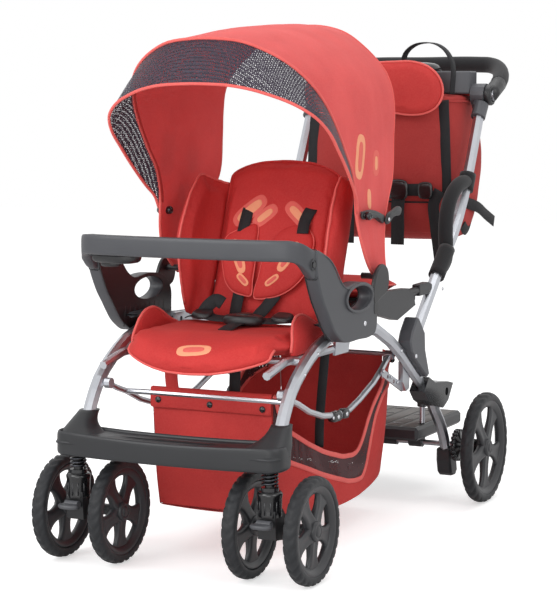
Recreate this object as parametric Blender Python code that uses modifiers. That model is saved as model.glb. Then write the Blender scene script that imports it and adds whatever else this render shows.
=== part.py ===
# Sit-and-stand pushchair: folding tandem pram with a front seat, a rear jump seat and a rider platform.
# Metres, +Z up. X runs across the pram, the pram faces -Y. Shapes are laid out from the line of the
# front caster stems (y = 0) on the floor (z = 0); a root empty then centres the whole pram on its origin.
import math

import bmesh
import bpy
from mathutils import Matrix, Vector

# Clearances
GAP = 0.0003
RUNNING = 0.0003

# Wheels and casters
FRONT_WHEEL_R = 0.100
FRONT_TYRE_W = 0.026
REAR_WHEEL_R = 0.120
REAR_TYRE_W = 0.026
TYRE_DEPTH = 0.018
STEM_X = 0.201
PAIR_HALF = 0.0613
TRAIL = 0.046
FRONT_AXLE_R = 0.005
REAR_AXLE_R = 0.006
REAR_WHEEL_X = 0.2934
REAR_AXLE_Y = 0.8634
HUB_R = 0.019
WINDOW_COUNT = 5
BRAKE_DISC_R = 0.034
BRAKE_DISC_T = 0.010
REAR_STEPS = 18

# Front caster stack, heights above the floor
BAR_BOTTOM = 0.2155
BAR_HEIGHT = 0.046
STRUT_R = 0.009
SPRING_SEAT_R = 0.0165
SPRING_SEAT_T = 0.007
SPRING_SPACE = 0.032
SPRING_COIL_R = 0.0138
SPRING_WIRE_R = 0.0022
SPRING_TURNS = 4
SPRING_POINTS = 8
SUSPENSION_TRAVEL = 0.010
STRUT_GRIP = 0.022
HOUSING_R = 0.021
HOUSING_H = 0.045
LOCK_R = 0.008
LOCK_LEN = 0.022

# Frame
TUBE_R = 0.0125
FRAME_X = 0.203
HANDLE_X = 0.208
OVAL_W = 0.018
OVAL_H = 0.028
FOLD_PIN = (0.355, 0.432)
FOLD_PIN_R = 0.005
THIN_R = 0.006
BRACE_X = 0.1838
BRACE_FRONT_PIN = (0.085, 0.336)
BRACE_REAR_PIN = (0.588, 0.350)
BRACE_ELBOW = (0.3325, 0.2625)
BASKET_BAR_Y = 0.1522
BASKET_BAR_Z = 0.3120
REAR_BAR_Y = 0.5600
REAR_BAR_Z = 0.3340
FOOTREST_HALF = 0.235
SLEEVE_TOP = (0.0455, 0.290)
SLEEVE_R = 0.0185

# Seat
RAIL_X = 0.172
RAIL_R = 0.008
RAIL_Z = 0.392
SEAT_CROSS = (0.150, 0.390)
SEAT_PLATE_T = 0.0055
RECLINE_PIN = (0.392, 0.420)
BACK_FOOT_R = 0.006
BACK_LEAN = math.radians(18)
BACK_HEIGHT = 0.335
SEAT_THICK = 0.034
BACK_THICK = 0.036

# Armrest, tray
ARM_INNER_X = 0.2175
ARM_THICK = 0.026
TRAY_THICK = 0.022
TRAY_JOINT_Y = 0.113
TONGUE_LEN = 0.036
TONGUE_W = 0.011
TONGUE_H = 0.030
BUTTON_R = 0.006
BUTTON_TRAVEL = 0.003

# Canopy: nested shells that turn about one cross pin
CANOPY_PIN = (0.410, 0.530)
CANOPY_PIN_R = 0.006
CANOPY_R = 0.512
CANOPY_HALF = 0.2330
CANOPY_STEP = 0.0050
CANOPY_T = 0.0026
CANOPY_POWER = 2.3
CANOPY_SHOULDER = 0.59
REAR_SPAN = (-15, -8)
MAIN_SPAN = (-10, 30)
VISOR_SPAN = (27.5, 48)
REAR_OFFSET = 0.0743
HEM_OFFSET = 0.060
REAR_LIMIT = -38
HEM_LIMIT = 30.5

# Handle end
HANDLE_JOINT = (1.074, 0.882)
JOINT_R = 0.026
JOINT_INNER_X = 0.1835
JOINT_OUTER_X = 0.2150
BAR_HUB_R = 0.022
BAR_HUB_T = 0.0137
BAR_FOAM_R = 0.017
BAR_CROSS = (1.238, 0.938)
TILT_BUTTON_R = 0.0125
CONSOLE_Y = (1.020, 1.130)
CONSOLE_Z = (0.885, 0.936)
CONSOLE_WALL = 0.004
CUP_R = 0.034
CUP_X = 0.135
CUP_DEPTH = 0.042
LID_HALF = 0.088
LID_T = 0.005

# Rear end
PLATFORM_HALF = 0.170
PLATFORM_Y = (0.780, 1.050)
PLATFORM_Z = (0.1350, 0.1650)
POST_R = 0.0055
POST_X = 0.158
POST_Y = 0.838
POST_TOP = 0.222
POST_KNOB_R = 0.011
GRIP_R = 0.0150
GRIP_LOOP = [(0.2080, 0.8120, 0.5150), (0.2065, 0.8420, 0.5260), (0.2035, 0.8680, 0.5520), (0.2000, 0.8770, 0.5820),
             (0.1985, 0.8740, 0.6110), (0.1985, 0.8735, 0.6350), (0.2000, 0.8800, 0.6580), (0.2035, 0.8990, 0.6790),
             (0.2065, 0.9300, 0.6930), (0.2080, 0.9700, 0.7000)]
HOUSING_X = (0.1860, 0.2200)
BOOT_BOTTOM = 0.050
BOOT_TOP = 0.1125
PEDAL_REACH = 1.078

# Jump seat, basket and bag
JUMP_Y = (0.500, 0.690)
JUMP_BOARD_Z = (0.4550, 0.4670)
JUMP_PAD_T = 0.038
JUMP_PLATE_X = (0.1960, 0.2140)
BASKET_WALL = 0.004
BAG_HALF = 0.1825
BAG_Y = (0.930, 1.205)
BAG_BOTTOM = 0.555

FRONT_REACH = -0.060
REAR_REACH = BAR_CROSS[0] + BAR_FOAM_R
MIDDLE_Y = (FRONT_REACH + REAR_REACH) / 2

SIDES = (("l", 1), ("r", -1))

for old in list(bpy.data.objects):
    bpy.data.objects.remove(old, do_unlink=True)

parts = bpy.data.collections.new("pushchair")
bpy.context.scene.collection.children.link(parts)
root = bpy.data.objects.new("pushchair_root", None)
root.location = (0, -MIDDLE_Y, 0)
parts.objects.link(root)


def make_material(name, colour, roughness, metallic=0.0):
    material = bpy.data.materials.new(name)
    material.use_nodes = True
    shader = material.node_tree.nodes["Principled BSDF"]
    shader.inputs["Base Color"].default_value = (*colour, 1)
    shader.inputs["Roughness"].default_value = roughness
    shader.inputs["Metallic"].default_value = metallic
    return material


ALUMINIUM = make_material("satin_aluminium", (0.62, 0.63, 0.65), 0.35, 1.0)
GREY_PLASTIC = make_material("grey_plastic", (0.075, 0.075, 0.08), 0.5)
BLACK_PLASTIC = make_material("black_plastic", (0.02, 0.02, 0.021), 0.45)
TYRE_FOAM = make_material("tyre_foam", (0.022, 0.022, 0.023), 0.8)
GRIP_FOAM = make_material("grip_foam", (0.018, 0.018, 0.019), 0.9)
SPRING_STEEL = make_material("spring_steel", (0.05, 0.05, 0.05), 0.3, 1.0)
RED_CLOTH = make_material("red_cloth", (0.48, 0.03, 0.03), 0.85)
CORAL_CLOTH = make_material("coral_cloth", (0.62, 0.08, 0.075), 0.85)


def new_object(name, mesh):
    thing = bpy.data.objects.new(name, mesh)
    parts.objects.link(thing)
    return thing


def from_bmesh(name, bm):
    bmesh.ops.recalc_face_normals(bm, faces=bm.faces)
    mesh = bpy.data.meshes.new(name)
    bm.to_mesh(mesh)
    bm.free()
    return new_object(name, mesh)


def bake(thing):
    bpy.context.view_layer.update()
    graph = bpy.context.evaluated_depsgraph_get()
    mesh = bpy.data.meshes.new_from_object(thing.evaluated_get(graph))
    bm = bmesh.new()
    bm.from_mesh(mesh)
    bmesh.ops.remove_doubles(bm, verts=bm.verts, dist=0.00002)
    bmesh.ops.recalc_face_normals(bm, faces=bm.faces)
    bm.to_mesh(mesh)
    bm.free()
    name = thing.name
    matrix = thing.matrix_world.copy()
    bpy.data.objects.remove(thing)
    fresh = new_object(name, mesh)
    mesh.transform(matrix)
    return fresh


def boolean(target, others, operation):
    for other in others:
        step = target.modifiers.new(operation.lower(), "BOOLEAN")
        step.operation = operation
        step.object = other
        step.solver = "EXACT"
    result = bake(target)
    for other in others:
        bpy.data.objects.remove(other)
    return result


def union(target, *others):
    return boolean(target, others, "UNION")


def cut(target, *others):
    return boolean(target, others, "DIFFERENCE")


def bevelled(thing, width, segments=1, angle=40):
    step = thing.modifiers.new("bevel", "BEVEL")
    step.width = width
    step.segments = segments
    step.limit_method = "ANGLE"
    step.angle_limit = math.radians(angle)
    return bake(thing)


def box(name, low, high, bevel=0.0, segments=1):
    bm = bmesh.new()
    bmesh.ops.create_cube(bm, size=1)
    size = [high[i] - low[i] for i in range(3)]
    middle = [(high[i] + low[i]) / 2 for i in range(3)]
    bmesh.ops.scale(bm, vec=size, verts=bm.verts)
    bmesh.ops.translate(bm, vec=middle, verts=bm.verts)
    thing = from_bmesh(name, bm)
    return bevelled(thing, bevel, segments) if bevel else thing


def rod(name, start, end, radius, sides=16, end_radius=None):
    start = Vector(start)
    end = Vector(end)
    along = end - start
    bm = bmesh.new()
    tip = radius if end_radius is None else end_radius
    bmesh.ops.create_cone(bm, cap_ends=True, segments=sides, radius1=radius, radius2=tip, depth=along.length)
    turn = along.to_track_quat("Z", "Y").to_matrix().to_4x4()
    bmesh.ops.transform(bm, matrix=Matrix.Translation((start + end) / 2) @ turn, verts=bm.verts)
    return from_bmesh(name, bm)


def cross_rod(name, x_from, x_to, centre, radius, sides=16):
    return rod(name, (x_from, *centre), (x_to, *centre), radius, sides)


def smooth_path(points, steps=4):
    line = [Vector(p) for p in points]
    line = [2 * line[0] - line[1]] + line + [2 * line[-1] - line[-2]]
    path = []
    for a, b, c, d in zip(line, line[1:], line[2:], line[3:]):
        for k in range(steps):
            t = k / steps
            path.append(0.5 * ((2 * b) + (c - a) * t + (2 * a - 5 * b + 4 * c - d) * t * t
                               + (3 * b - a - 3 * c + d) * t ** 3))
    path.append(line[-2])
    return path


def tube(name, path, radius, resolution=2):
    curve = bpy.data.curves.new(name, "CURVE")
    curve.dimensions = "3D"
    curve.bevel_depth = radius
    curve.bevel_resolution = resolution
    curve.use_fill_caps = True
    spline = curve.splines.new("POLY")
    spline.points.add(len(path) - 1)
    for slot, point in zip(spline.points, path):
        slot.co = (*point, 1)
    return bake(new_object(name, curve))


def side_path(x, points, steps=2):
    return smooth_path([(x, y, z) for y, z in points], steps)


def longer(path, start=0.0, end=0.0):
    path = list(path)
    if start:
        path[0] = path[0] + (path[0] - path[1]).normalized() * start
    if end:
        path[-1] = path[-1] + (path[-1] - path[-2]).normalized() * end
    return path


def plate(name, outline, low, high, plane="YZ", bevel=0.0, segments=1):
    curve = bpy.data.curves.new(name, "CURVE")
    curve.dimensions = "2D"
    curve.fill_mode = "BOTH"
    curve.extrude = (high - low) / 2
    spline = curve.splines.new("POLY")
    spline.points.add(len(outline) - 1)
    for slot, point in zip(spline.points, outline):
        slot.co = (*point, 0, 1)
    spline.use_cyclic_u = True
    thing = new_object(name, curve)
    middle = (high + low) / 2
    if plane == "YZ":
        thing.matrix_world = Matrix.Translation((middle, 0, 0)) @ Matrix(
            ((0, 0, 1, 0), (1, 0, 0, 0), (0, 1, 0, 0), (0, 0, 0, 1)))
    else:
        thing.matrix_world = Matrix.Translation((0, 0, middle))
    solid = bake(thing)
    return bevelled(solid, bevel, segments) if bevel else solid


def arc(centre, radii, start, end, count):
    points = []
    for k in range(count + 1):
        angle = math.radians(start + (end - start) * k / count)
        points.append((centre[0] + radii[0] * math.cos(angle), centre[1] + radii[1] * math.sin(angle)))
    return points


def turned(name, profile, centre, steps=15):
    """Turn a closed (radius, x) profile about the X axis through centre."""
    bm = bmesh.new()
    ring = [bm.verts.new((radius, 0, across)) for radius, across in profile]
    for a, b in zip(ring, ring[1:] + ring[:1]):
        bm.edges.new((a, b))
    mesh = bpy.data.meshes.new(name)
    bm.to_mesh(mesh)
    bm.free()
    thing = new_object(name, mesh)
    screw = thing.modifiers.new("turn", "SCREW")
    screw.steps = steps
    screw.render_steps = steps
    screw.use_merge_vertices = True
    screw.merge_threshold = 0.0001
    thing.matrix_world = Matrix.Translation(centre) @ Matrix(
        ((0, 0, 1, 0), (1, 0, 0, 0), (0, 1, 0, 0), (0, 0, 0, 1)))
    return bake(thing)


def loft(name, rings):
    bm = bmesh.new()
    rows = [[bm.verts.new(p) for p in ring] for ring in rings]
    count = len(rows[0])
    for low, high in zip(rows, rows[1:]):
        for k in range(count):
            bm.faces.new((low[k], low[(k + 1) % count], high[(k + 1) % count], high[k]))
    bm.faces.new(rows[0][::-1])
    bm.faces.new(rows[-1])
    return from_bmesh(name, bm)


def cushion(name, rows, thickness, edge=0.45, seams=(), levels=1):
    """Padded sheet: a grid of mid-surface points, thick in the middle, thin at the edges and seams."""
    bm = bmesh.new()
    grid = [[bm.verts.new(p) for p in row] for row in rows]
    for low, high in zip(grid, grid[1:]):
        for k in range(len(low) - 1):
            bm.faces.new((low[k], low[k + 1], high[k + 1], high[k]))
    bm.verts.index_update()
    last_row = len(rows) - 1
    last_column = len(rows[0]) - 1
    weights = {}
    for i, row in enumerate(grid):
        for j, vert in enumerate(row):
            border = i in (0, last_row) or j in (0, last_column)
            weights[vert.index] = edge if border else (0.72 if j in seams else 1.0)
    thing = from_bmesh(name, bm)
    group = thing.vertex_groups.new(name="fill")
    for index, weight in weights.items():
        group.add([index], weight, "REPLACE")
    wall = thing.modifiers.new("fill", "SOLIDIFY")
    wall.thickness = thickness
    wall.offset = 0
    wall.vertex_group = "fill"
    wall.thickness_vertex_group = 0.0
    soft = thing.modifiers.new("soft", "SUBSURF")
    soft.levels = levels
    soft.render_levels = levels
    return bake(thing)


def finish(thing, material, pivot=(0, 0, 0)):
    origin = Vector(pivot)
    thing.data.transform(Matrix.Translation(-origin))
    thing.location = origin
    thing.parent = root
    thing.data.materials.clear()
    thing.data.materials.append(material)
    thing.data.shade_smooth()
    thing.data.set_sharp_from_angle(angle=math.radians(35))
    return thing


def mirrored(points, side):
    return [(side * x, y, z) for x, y, z in points]


# Heights in the caster stack
STACK_TOP = BAR_BOTTOM
SEAT_TOP = STACK_TOP - SPRING_SPACE
SEAT_BOTTOM = SEAT_TOP - SPRING_SEAT_T
CASTER_TOP = SEAT_BOTTOM - GAP
CASTER_BOTTOM = CASTER_TOP - HOUSING_H

FRONT_TUBE = [(0.0385, 0.2720), (0.0514, 0.3001), (0.0818, 0.3435), (0.1276, 0.3782), (0.1859, 0.4085),
              (0.2608, 0.4276), (0.3150, 0.4320)]
REAR_TUBE = [FOLD_PIN, (0.420, 0.4290), (0.4701, 0.4174), (0.5468, 0.3841), (0.6041, 0.3511),
             (0.6857, 0.2942), (0.7550, 0.2480)]
REAR_LEG = [(0.7740, 0.2320), (0.7939, 0.2083), (0.8253, 0.1772), (0.8469, 0.1471), (0.8595, 0.1233),
            (0.8690, 0.0950)]
HANDLE_TUBE = [(0.6480, 0.3660), (0.6859, 0.3983), (0.8000, 0.5080), (0.8850, 0.5780), (0.9500, 0.6580),
               (1.0000, 0.7500), (1.0411, 0.8332), (1.0500, 0.8500)]


def handle_path(side):
    return side_path(side * HANDLE_X, HANDLE_TUBE)


def bored_end(x):
    return cross_rod("bore", x - 0.03, x + 0.03, FOLD_PIN, FOLD_PIN_R + RUNNING)


def make_footrest():
    front = arc((0, 0.200), (0.262, 0.260), -107, -73, 6)
    corner = arc((FOOTREST_HALF - 0.035, 0.002), (0.035, 0.042), -60, 88, 4)
    far_corner = [(-x, y) for x, y in reversed(corner)]
    outline = front + corner + far_corner
    bar = plate("footrest", outline, BAR_BOTTOM, BAR_BOTTOM + BAR_HEIGHT, "XY", bevel=0.006)
    shelf = plate("shelf", [(-0.125, -0.040), (0, -0.047), (0.125, -0.040), (0.125, 0.026), (-0.125, 0.026)],
                  BAR_BOTTOM + BAR_HEIGHT - 0.005, BAR_BOTTOM + BAR_HEIGHT + 0.01, "XY")
    bar = cut(bar, shelf)
    for _, side in SIDES:
        low = (side * (FRAME_X + 0.003), 0.000, BAR_BOTTOM + 0.018)
        high = (side * FRAME_X, *SLEEVE_TOP)
        bar = union(bar, rod("sleeve", low, high, 0.034, 16, SLEEVE_R))
    for _, side in SIDES:
        path = side_path(side * FRAME_X, [(FRONT_TUBE[0][0] - 0.0003, FRONT_TUBE[0][1] - 0.0004)]
                         + FRONT_TUBE[1:3])
        bar = cut(bar, tube("socket", path, TUBE_R + GAP))
        depth = STRUT_GRIP + SUSPENSION_TRAVEL + 0.001
        bar = cut(bar, rod("stem_socket", (side * STEM_X, 0, BAR_BOTTOM - 0.01),
                           (side * STEM_X, 0, BAR_BOTTOM + depth), STRUT_R + RUNNING))
    return finish(bar, GREY_PLASTIC)


def make_front_tube(tag, side):
    return finish(tube("front_tube_" + tag, side_path(side * FRAME_X, FRONT_TUBE), TUBE_R), ALUMINIUM)


def oval(thing, x):
    squeeze = Matrix.Translation((x, 0, 0)) @ Matrix.Diagonal((OVAL_W / OVAL_H, 1, 1, 1)) @ Matrix.Translation(
        (-x, 0, 0))
    thing.data.transform(squeeze)
    return thing


def make_rear_tube(tag, side):
    x = side * FRAME_X
    rail = oval(tube("rear_tube_" + tag, side_path(x, REAR_TUBE, 1), OVAL_H / 2), x)
    eye = cross_rod("eye", x - OVAL_W / 2 + 0.0004, x + OVAL_W / 2 - 0.0004, FOLD_PIN, OVAL_H / 2 + 0.0006)
    face = OVAL_W / 2
    hanger = plate("hanger", [(0.622, 0.3320), (0.622, 0.2900), (0.640, 0.2680), (0.656, 0.2720), (0.660, 0.3060)],
                   *sorted((side * (FRAME_X - face - 0.0035), x - side * 0.0020)))
    link = plate("link", [(0.5320, 0.3290), (0.5270, 0.3210), (0.5310, 0.3130), (0.6370, 0.2670), (0.6480, 0.2700),
                          (0.6500, 0.2800)],
                 *sorted((side * (FRAME_X - face - 0.0038), side * (FRAME_X - face - 0.0008))))
    holes = [cross_rod("hole", x - 0.03, x + 0.03, (0.560 + 0.032 * k, 0.3085 - 0.0140 * k), 0.0042, 8)
             for k in range(2)]
    rail = cut(union(rail, eye, hanger, link), bored_end(x), *holes)
    return finish(rail, ALUMINIUM, (x, *FOLD_PIN))


def make_lock_housing(tag, side):
    outline = [(0.694, 0.260), (0.716, 0.238), (0.753, 0.222), (0.806, 0.210), (0.836, 0.223), (0.8645, 0.257),
               (0.834, 0.2640), (0.758, 0.2720), (0.722, 0.2880)]
    low, high = sorted((side * HOUSING_X[0], side * HOUSING_X[1]))
    body = plate("lock_housing_" + tag, outline, low, high)
    x = side * FRAME_X
    rail = oval(tube("rail_seat", longer(side_path(x, REAR_TUBE[-3:], 1), end=GAP), OVAL_H / 2 + GAP), x)
    leg = tube("leg_seat", longer(side_path(x, REAR_LEG[:3]), start=GAP), TUBE_R + GAP)
    pocket = cross_rod("pocket", side * (HOUSING_X[1] - 0.004), side * (HOUSING_X[1] + 0.01),
                       (0.826, 0.243), 0.009, 12)
    return finish(cut(body, rail, leg, pocket), BLACK_PLASTIC)


def make_rear_leg(tag, side):
    x = side * FRAME_X
    leg = tube("rear_leg_" + tag, side_path(x, REAR_LEG), TUBE_R)
    axle = cross_rod("axle_hole", x - 0.03, x + 0.03, (REAR_AXLE_Y, REAR_WHEEL_R), REAR_AXLE_R + GAP)
    return finish(cut(leg, axle), ALUMINIUM)


def make_leg_boot(tag, side):
    outline = [(0.851, BOOT_TOP), (0.850, 0.085), (0.858, BOOT_BOTTOM + 0.006), (0.866, BOOT_BOTTOM),
               (0.888, BOOT_BOTTOM), (0.897, BOOT_BOTTOM + 0.008), (0.889, 0.090), (0.886, BOOT_TOP)]
    low, high = sorted((side * (FRAME_X - 0.017), side * (FRAME_X + 0.017)))
    boot = plate("leg_boot_" + tag, outline, low, high, bevel=0.004)
    path = side_path(side * FRAME_X, REAR_LEG[-3:-1] + [(REAR_LEG[-1][0] + 0.0002, REAR_LEG[-1][1] - GAP)], 2)
    return finish(cut(boot, tube("leg_seat", path, TUBE_R + GAP)), BLACK_PLASTIC)


def wheel_windows(radius_in, radius_out, centre, width):
    cutters = []
    spread = math.radians(25)
    for k in range(WINDOW_COUNT):
        middle = 2 * math.pi * k / WINDOW_COUNT + math.pi / 2
        corners = []
        for angle, radius in ((middle, radius_in), (middle + spread * 0.8, radius_out * 0.9),
                              (middle, radius_out), (middle - spread * 0.8, radius_out * 0.9)):
            corners.append((centre[1] + radius * math.cos(angle), centre[2] + radius * math.sin(angle)))
        cutters.append(plate("window", corners, centre[0] - width, centre[0] + width))
    return cutters


def tyre_profile(outer, inner, half):
    return [(outer - 0.004, half * 0.8), (outer, half * 0.4), (outer, -half * 0.4), (outer - 0.004, -half * 0.8),
            (inner + 0.006, -half), (inner, -half * 0.85), (inner, half * 0.85), (inner + 0.006, half)]


def make_front_wheel(tag, side, place, where):
    """One twin-caster wheel: rim with tyre, its hub cap on the face away from the fork."""
    half = FRONT_TYRE_W / 2
    centre = (side * STEM_X + where * PAIR_HALF, TRAIL, FRONT_WHEEL_R)
    name = "front_wheel_%s_%s" % (tag, place)
    rim = FRONT_WHEEL_R - TYRE_DEPTH
    profile = tyre_profile(FRONT_WHEEL_R, rim, half)[:4]
    profile += [(rim, -half * 0.8), (rim - 0.008, -0.004), (HUB_R, -0.005), (HUB_R, -half), (0.0001, -half),
                (0.0001, half), (HUB_R, half), (HUB_R, 0.005), (rim - 0.008, 0.004), (rim, half * 0.8)]
    wheel = turned(name, profile, centre)
    wheel = cut(wheel, *wheel_windows(HUB_R + 0.008, rim - 0.010, centre, 0.03))
    cap = where * (half + 0.0001)
    bore = cross_rod("bore", centre[0] - where * 0.05, centre[0] + cap - where * 0.004,
                     centre[1:], FRONT_AXLE_R + RUNNING, 12)
    return finish(cut(wheel, bore), TYRE_FOAM, centre)


def make_rear_rim(tag, side):
    half = REAR_TYRE_W / 2
    rim = REAR_WHEEL_R - TYRE_DEPTH
    centre = (side * REAR_WHEEL_X, REAR_AXLE_Y, REAR_WHEEL_R)
    inner = -(REAR_WHEEL_X - FRAME_X - TUBE_R - 0.0080)
    profile = [(rim, half * 0.85), (rim, -half * 0.85), (rim - 0.012, -0.005),
               (HUB_R + 0.001, -0.006), (HUB_R + 0.001, -half), (0.014, inner + BRAKE_DISC_T),
               (BRAKE_DISC_R, inner + BRAKE_DISC_T), (BRAKE_DISC_R, inner), (0.0001, inner), (0.0001, half),
               (HUB_R + 0.001, half), (HUB_R + 0.001, 0.006), (rim - 0.012, 0.005)]
    profile = [(radius, side * across) for radius, across in profile]
    body = turned("rear_rim_" + tag, profile, centre, REAR_STEPS)
    body = cut(body, *wheel_windows(HUB_R + 0.010, rim - 0.012, centre, 0.008))
    bore = cross_rod("bore", centre[0] + side * (inner - 0.01), centre[0] + side * 0.005, centre[1:],
                     REAR_AXLE_R + RUNNING)
    return finish(cut(body, bore), BLACK_PLASTIC, centre)


def make_rear_tyre(tag, side):
    centre = (side * REAR_WHEEL_X, REAR_AXLE_Y, REAR_WHEEL_R)
    profile = tyre_profile(REAR_WHEEL_R, REAR_WHEEL_R - TYRE_DEPTH + GAP, REAR_TYRE_W / 2)
    return finish(turned("rear_tyre_" + tag, profile, centre, REAR_STEPS), TYRE_FOAM, centre)


def make_rear_axle():
    reach = REAR_WHEEL_X + 0.004
    return finish(cross_rod("rear_axle", -reach, reach, (REAR_AXLE_Y, REAR_WHEEL_R), REAR_AXLE_R), ALUMINIUM)


def make_strut(tag, side):
    x = side * STEM_X
    post = rod("suspension_strut_" + tag, (x, 0, SEAT_BOTTOM - STRUT_GRIP), (x, 0, BAR_BOTTOM + STRUT_GRIP), STRUT_R)
    seat = rod("seat", (x, 0, SEAT_BOTTOM), (x, 0, SEAT_TOP), SPRING_SEAT_R, 20)
    return finish(union(post, seat), BLACK_PLASTIC, (x, 0, SEAT_TOP))


def make_spring(tag, side):
    low = SEAT_TOP + SPRING_WIRE_R + GAP
    high = BAR_BOTTOM - SPRING_WIRE_R - GAP
    count = SPRING_TURNS * SPRING_POINTS
    path = []
    for k in range(count + 1):
        angle = 2 * math.pi * k / SPRING_POINTS
        height = low + (high - low) * k / count
        path.append((side * STEM_X + SPRING_COIL_R * math.cos(angle), SPRING_COIL_R * math.sin(angle), height))
    nearest = min((Vector(path[a]) - Vector(path[b])).length
                  for a in range(count + 1) for b in range(a + SPRING_POINTS // 2, count + 1))
    print("suspension_spring_%s least gap to itself: %.2f mm" % (tag, 1000 * (nearest - 2 * SPRING_WIRE_R)))
    return finish(tube("suspension_spring_" + tag, path, SPRING_WIRE_R, 1), SPRING_STEEL, (side * STEM_X, 0, SEAT_TOP))


def make_fork(tag, side):
    x = side * STEM_X
    body = rod("caster_fork_" + tag, (x, 0, CASTER_BOTTOM), (x, 0, CASTER_TOP), HOUSING_R, 16)
    leg = plate("leg", [(-0.016, CASTER_BOTTOM + 0.012), (-0.013, 0.090), (0.030, 0.084), (TRAIL + 0.012, 0.088),
                        (TRAIL + 0.013, 0.110), (0.030, 0.126), (0.016, CASTER_BOTTOM + 0.012)],
                x - 0.018, x + 0.018)
    reach = PAIR_HALF + FRONT_TYRE_W / 2 - 0.006
    axle = cross_rod("axle", x - reach, x + reach, (TRAIL, FRONT_WHEEL_R), FRONT_AXLE_R, 12)
    spacer_reach = PAIR_HALF - FRONT_TYRE_W / 2 - 0.001
    spacer = cross_rod("spacer", x - spacer_reach, x + spacer_reach, (TRAIL, FRONT_WHEEL_R), 0.011, 12)
    body = union(body, leg, spacer, axle)
    socket = rod("socket", (x, 0, SEAT_BOTTOM - STRUT_GRIP - GAP), (x, 0, CASTER_TOP + 0.01), STRUT_R + RUNNING)
    return finish(cut(body, socket), BLACK_PLASTIC, (x, 0, CASTER_TOP))


def make_swivel_lock(tag, side):
    x = side * STEM_X
    y = -(LOCK_R + 0.0152)
    z = CASTER_BOTTOM - 0.012
    hinge = cross_rod("swivel_lock_" + tag, x - 0.014, x + 0.014, (y, z), LOCK_R, 14)
    tongue = plate("tongue", [(x - 0.017, y + 0.001)] + arc((x, y - 0.012), (0.015, LOCK_LEN - 0.012),
                   180, 360, 6) + [(x + 0.017, y + 0.001)], z - 0.0045, z + 0.0035, "XY")
    return finish(union(hinge, tongue), GREY_PLASTIC, (x, y, z))


def armrest_outline():
    return [(0.1130, 0.6030), (0.1760, 0.5770), (0.2130, 0.5400), (0.2420, 0.5225), (0.2870, 0.5285), (0.3400, 0.5245),
            (0.3740, 0.5090), (0.3890, 0.4850), (0.3870, 0.4360), (0.3720, 0.4180), (0.2310, 0.4180),
            (0.1920, 0.4400), (0.1600, 0.4770), (0.1370, 0.5050), (0.1130, 0.5480)]


def tongue_box(name, side, grow):
    middle = side * (ARM_INNER_X + ARM_THICK / 2)
    low = (middle - TONGUE_W / 2 - grow, TRAY_JOINT_Y - 0.02, 0.5740 - TONGUE_H / 2 - grow)
    high = (middle + TONGUE_W / 2 + grow, TRAY_JOINT_Y + TONGUE_LEN + grow, 0.5740 + TONGUE_H / 2 + grow)
    return box(name, low, high)


def make_armrest(tag, side):
    low, high = sorted((side * ARM_INNER_X, side * (ARM_INNER_X + ARM_THICK)))
    arm = plate("armrest_" + tag, armrest_outline(), low, high, bevel=0.004)
    ring_outer = arc((0.297, 0.4985), (0.0640, 0.0285), 0, 360, 18)[:-1]
    out = side * (ARM_INNER_X + ARM_THICK + 0.004)
    low, high = sorted((side * (ARM_INNER_X + 0.008), out))
    arm = union(arm, plate("ring", ring_outer, low, high))
    ring_inner = arc((0.297, 0.4985), (0.0570, 0.0225), 0, 360, 18)[:-1]
    arm = cut(arm, plate("hole", ring_inner, *sorted((side * (ARM_INNER_X - 0.02), out + side * 0.02))),
              tongue_box("socket", side, GAP))
    bracket_in = CANOPY_HALF - 0.0030
    bracket = plate("bracket", [(0.372, 0.480), (0.436, 0.500), (0.444, 0.520), (0.434, 0.546), (0.412, 0.556),
                                (0.390, 0.546), (0.368, 0.510)],
                    *sorted((side * (bracket_in + 0.0060), side * (bracket_in + 0.0150))))
    pin = cross_rod("canopy_pin", side * (bracket_in + 0.010), side * (CANOPY_HALF - 2 * CANOPY_STEP - 0.017),
                    CANOPY_PIN, CANOPY_PIN_R)
    foot = plate("foot", [(0.3730, 0.4600), (0.3865, 0.4600), (0.3880, 0.4850), (0.3800, 0.4900), (0.3740, 0.4860)],
                 *sorted((side * (ARM_INNER_X + ARM_THICK - 0.010), side * (bracket_in + 0.0146))))
    fold_pin = cross_rod("fold_pin", side * (ARM_INNER_X + 0.004), side * (BRACE_X - THIN_R + 0.0012),
                         FOLD_PIN, FOLD_PIN_R)
    shelf = side * (FRAME_X - TUBE_R)
    web = plate("web", [(0.205, 0.4460), (0.315, 0.4480), (0.315, 0.4600), (0.215, 0.4600)],
                *sorted((shelf, side * (ARM_INNER_X + 0.004))))
    return finish(union(arm, bracket, foot, pin, fold_pin, web), GREY_PLASTIC)


def tray_section(x, y, along, low, high, half):
    across = Vector((-along.y, along.x, 0)).normalized()
    centre = Vector((x, y, 0))
    ring = []
    for u, v in ((1, 0.12), (1, 0.88), (0.7, 1), (-0.7, 1), (-1, 0.88), (-1, 0.12), (-0.7, 0), (0.7, 0)):
        ring.append(centre + across * (u * half) + Vector((0, 0, low + (high - low) * v)))
    return ring


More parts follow.
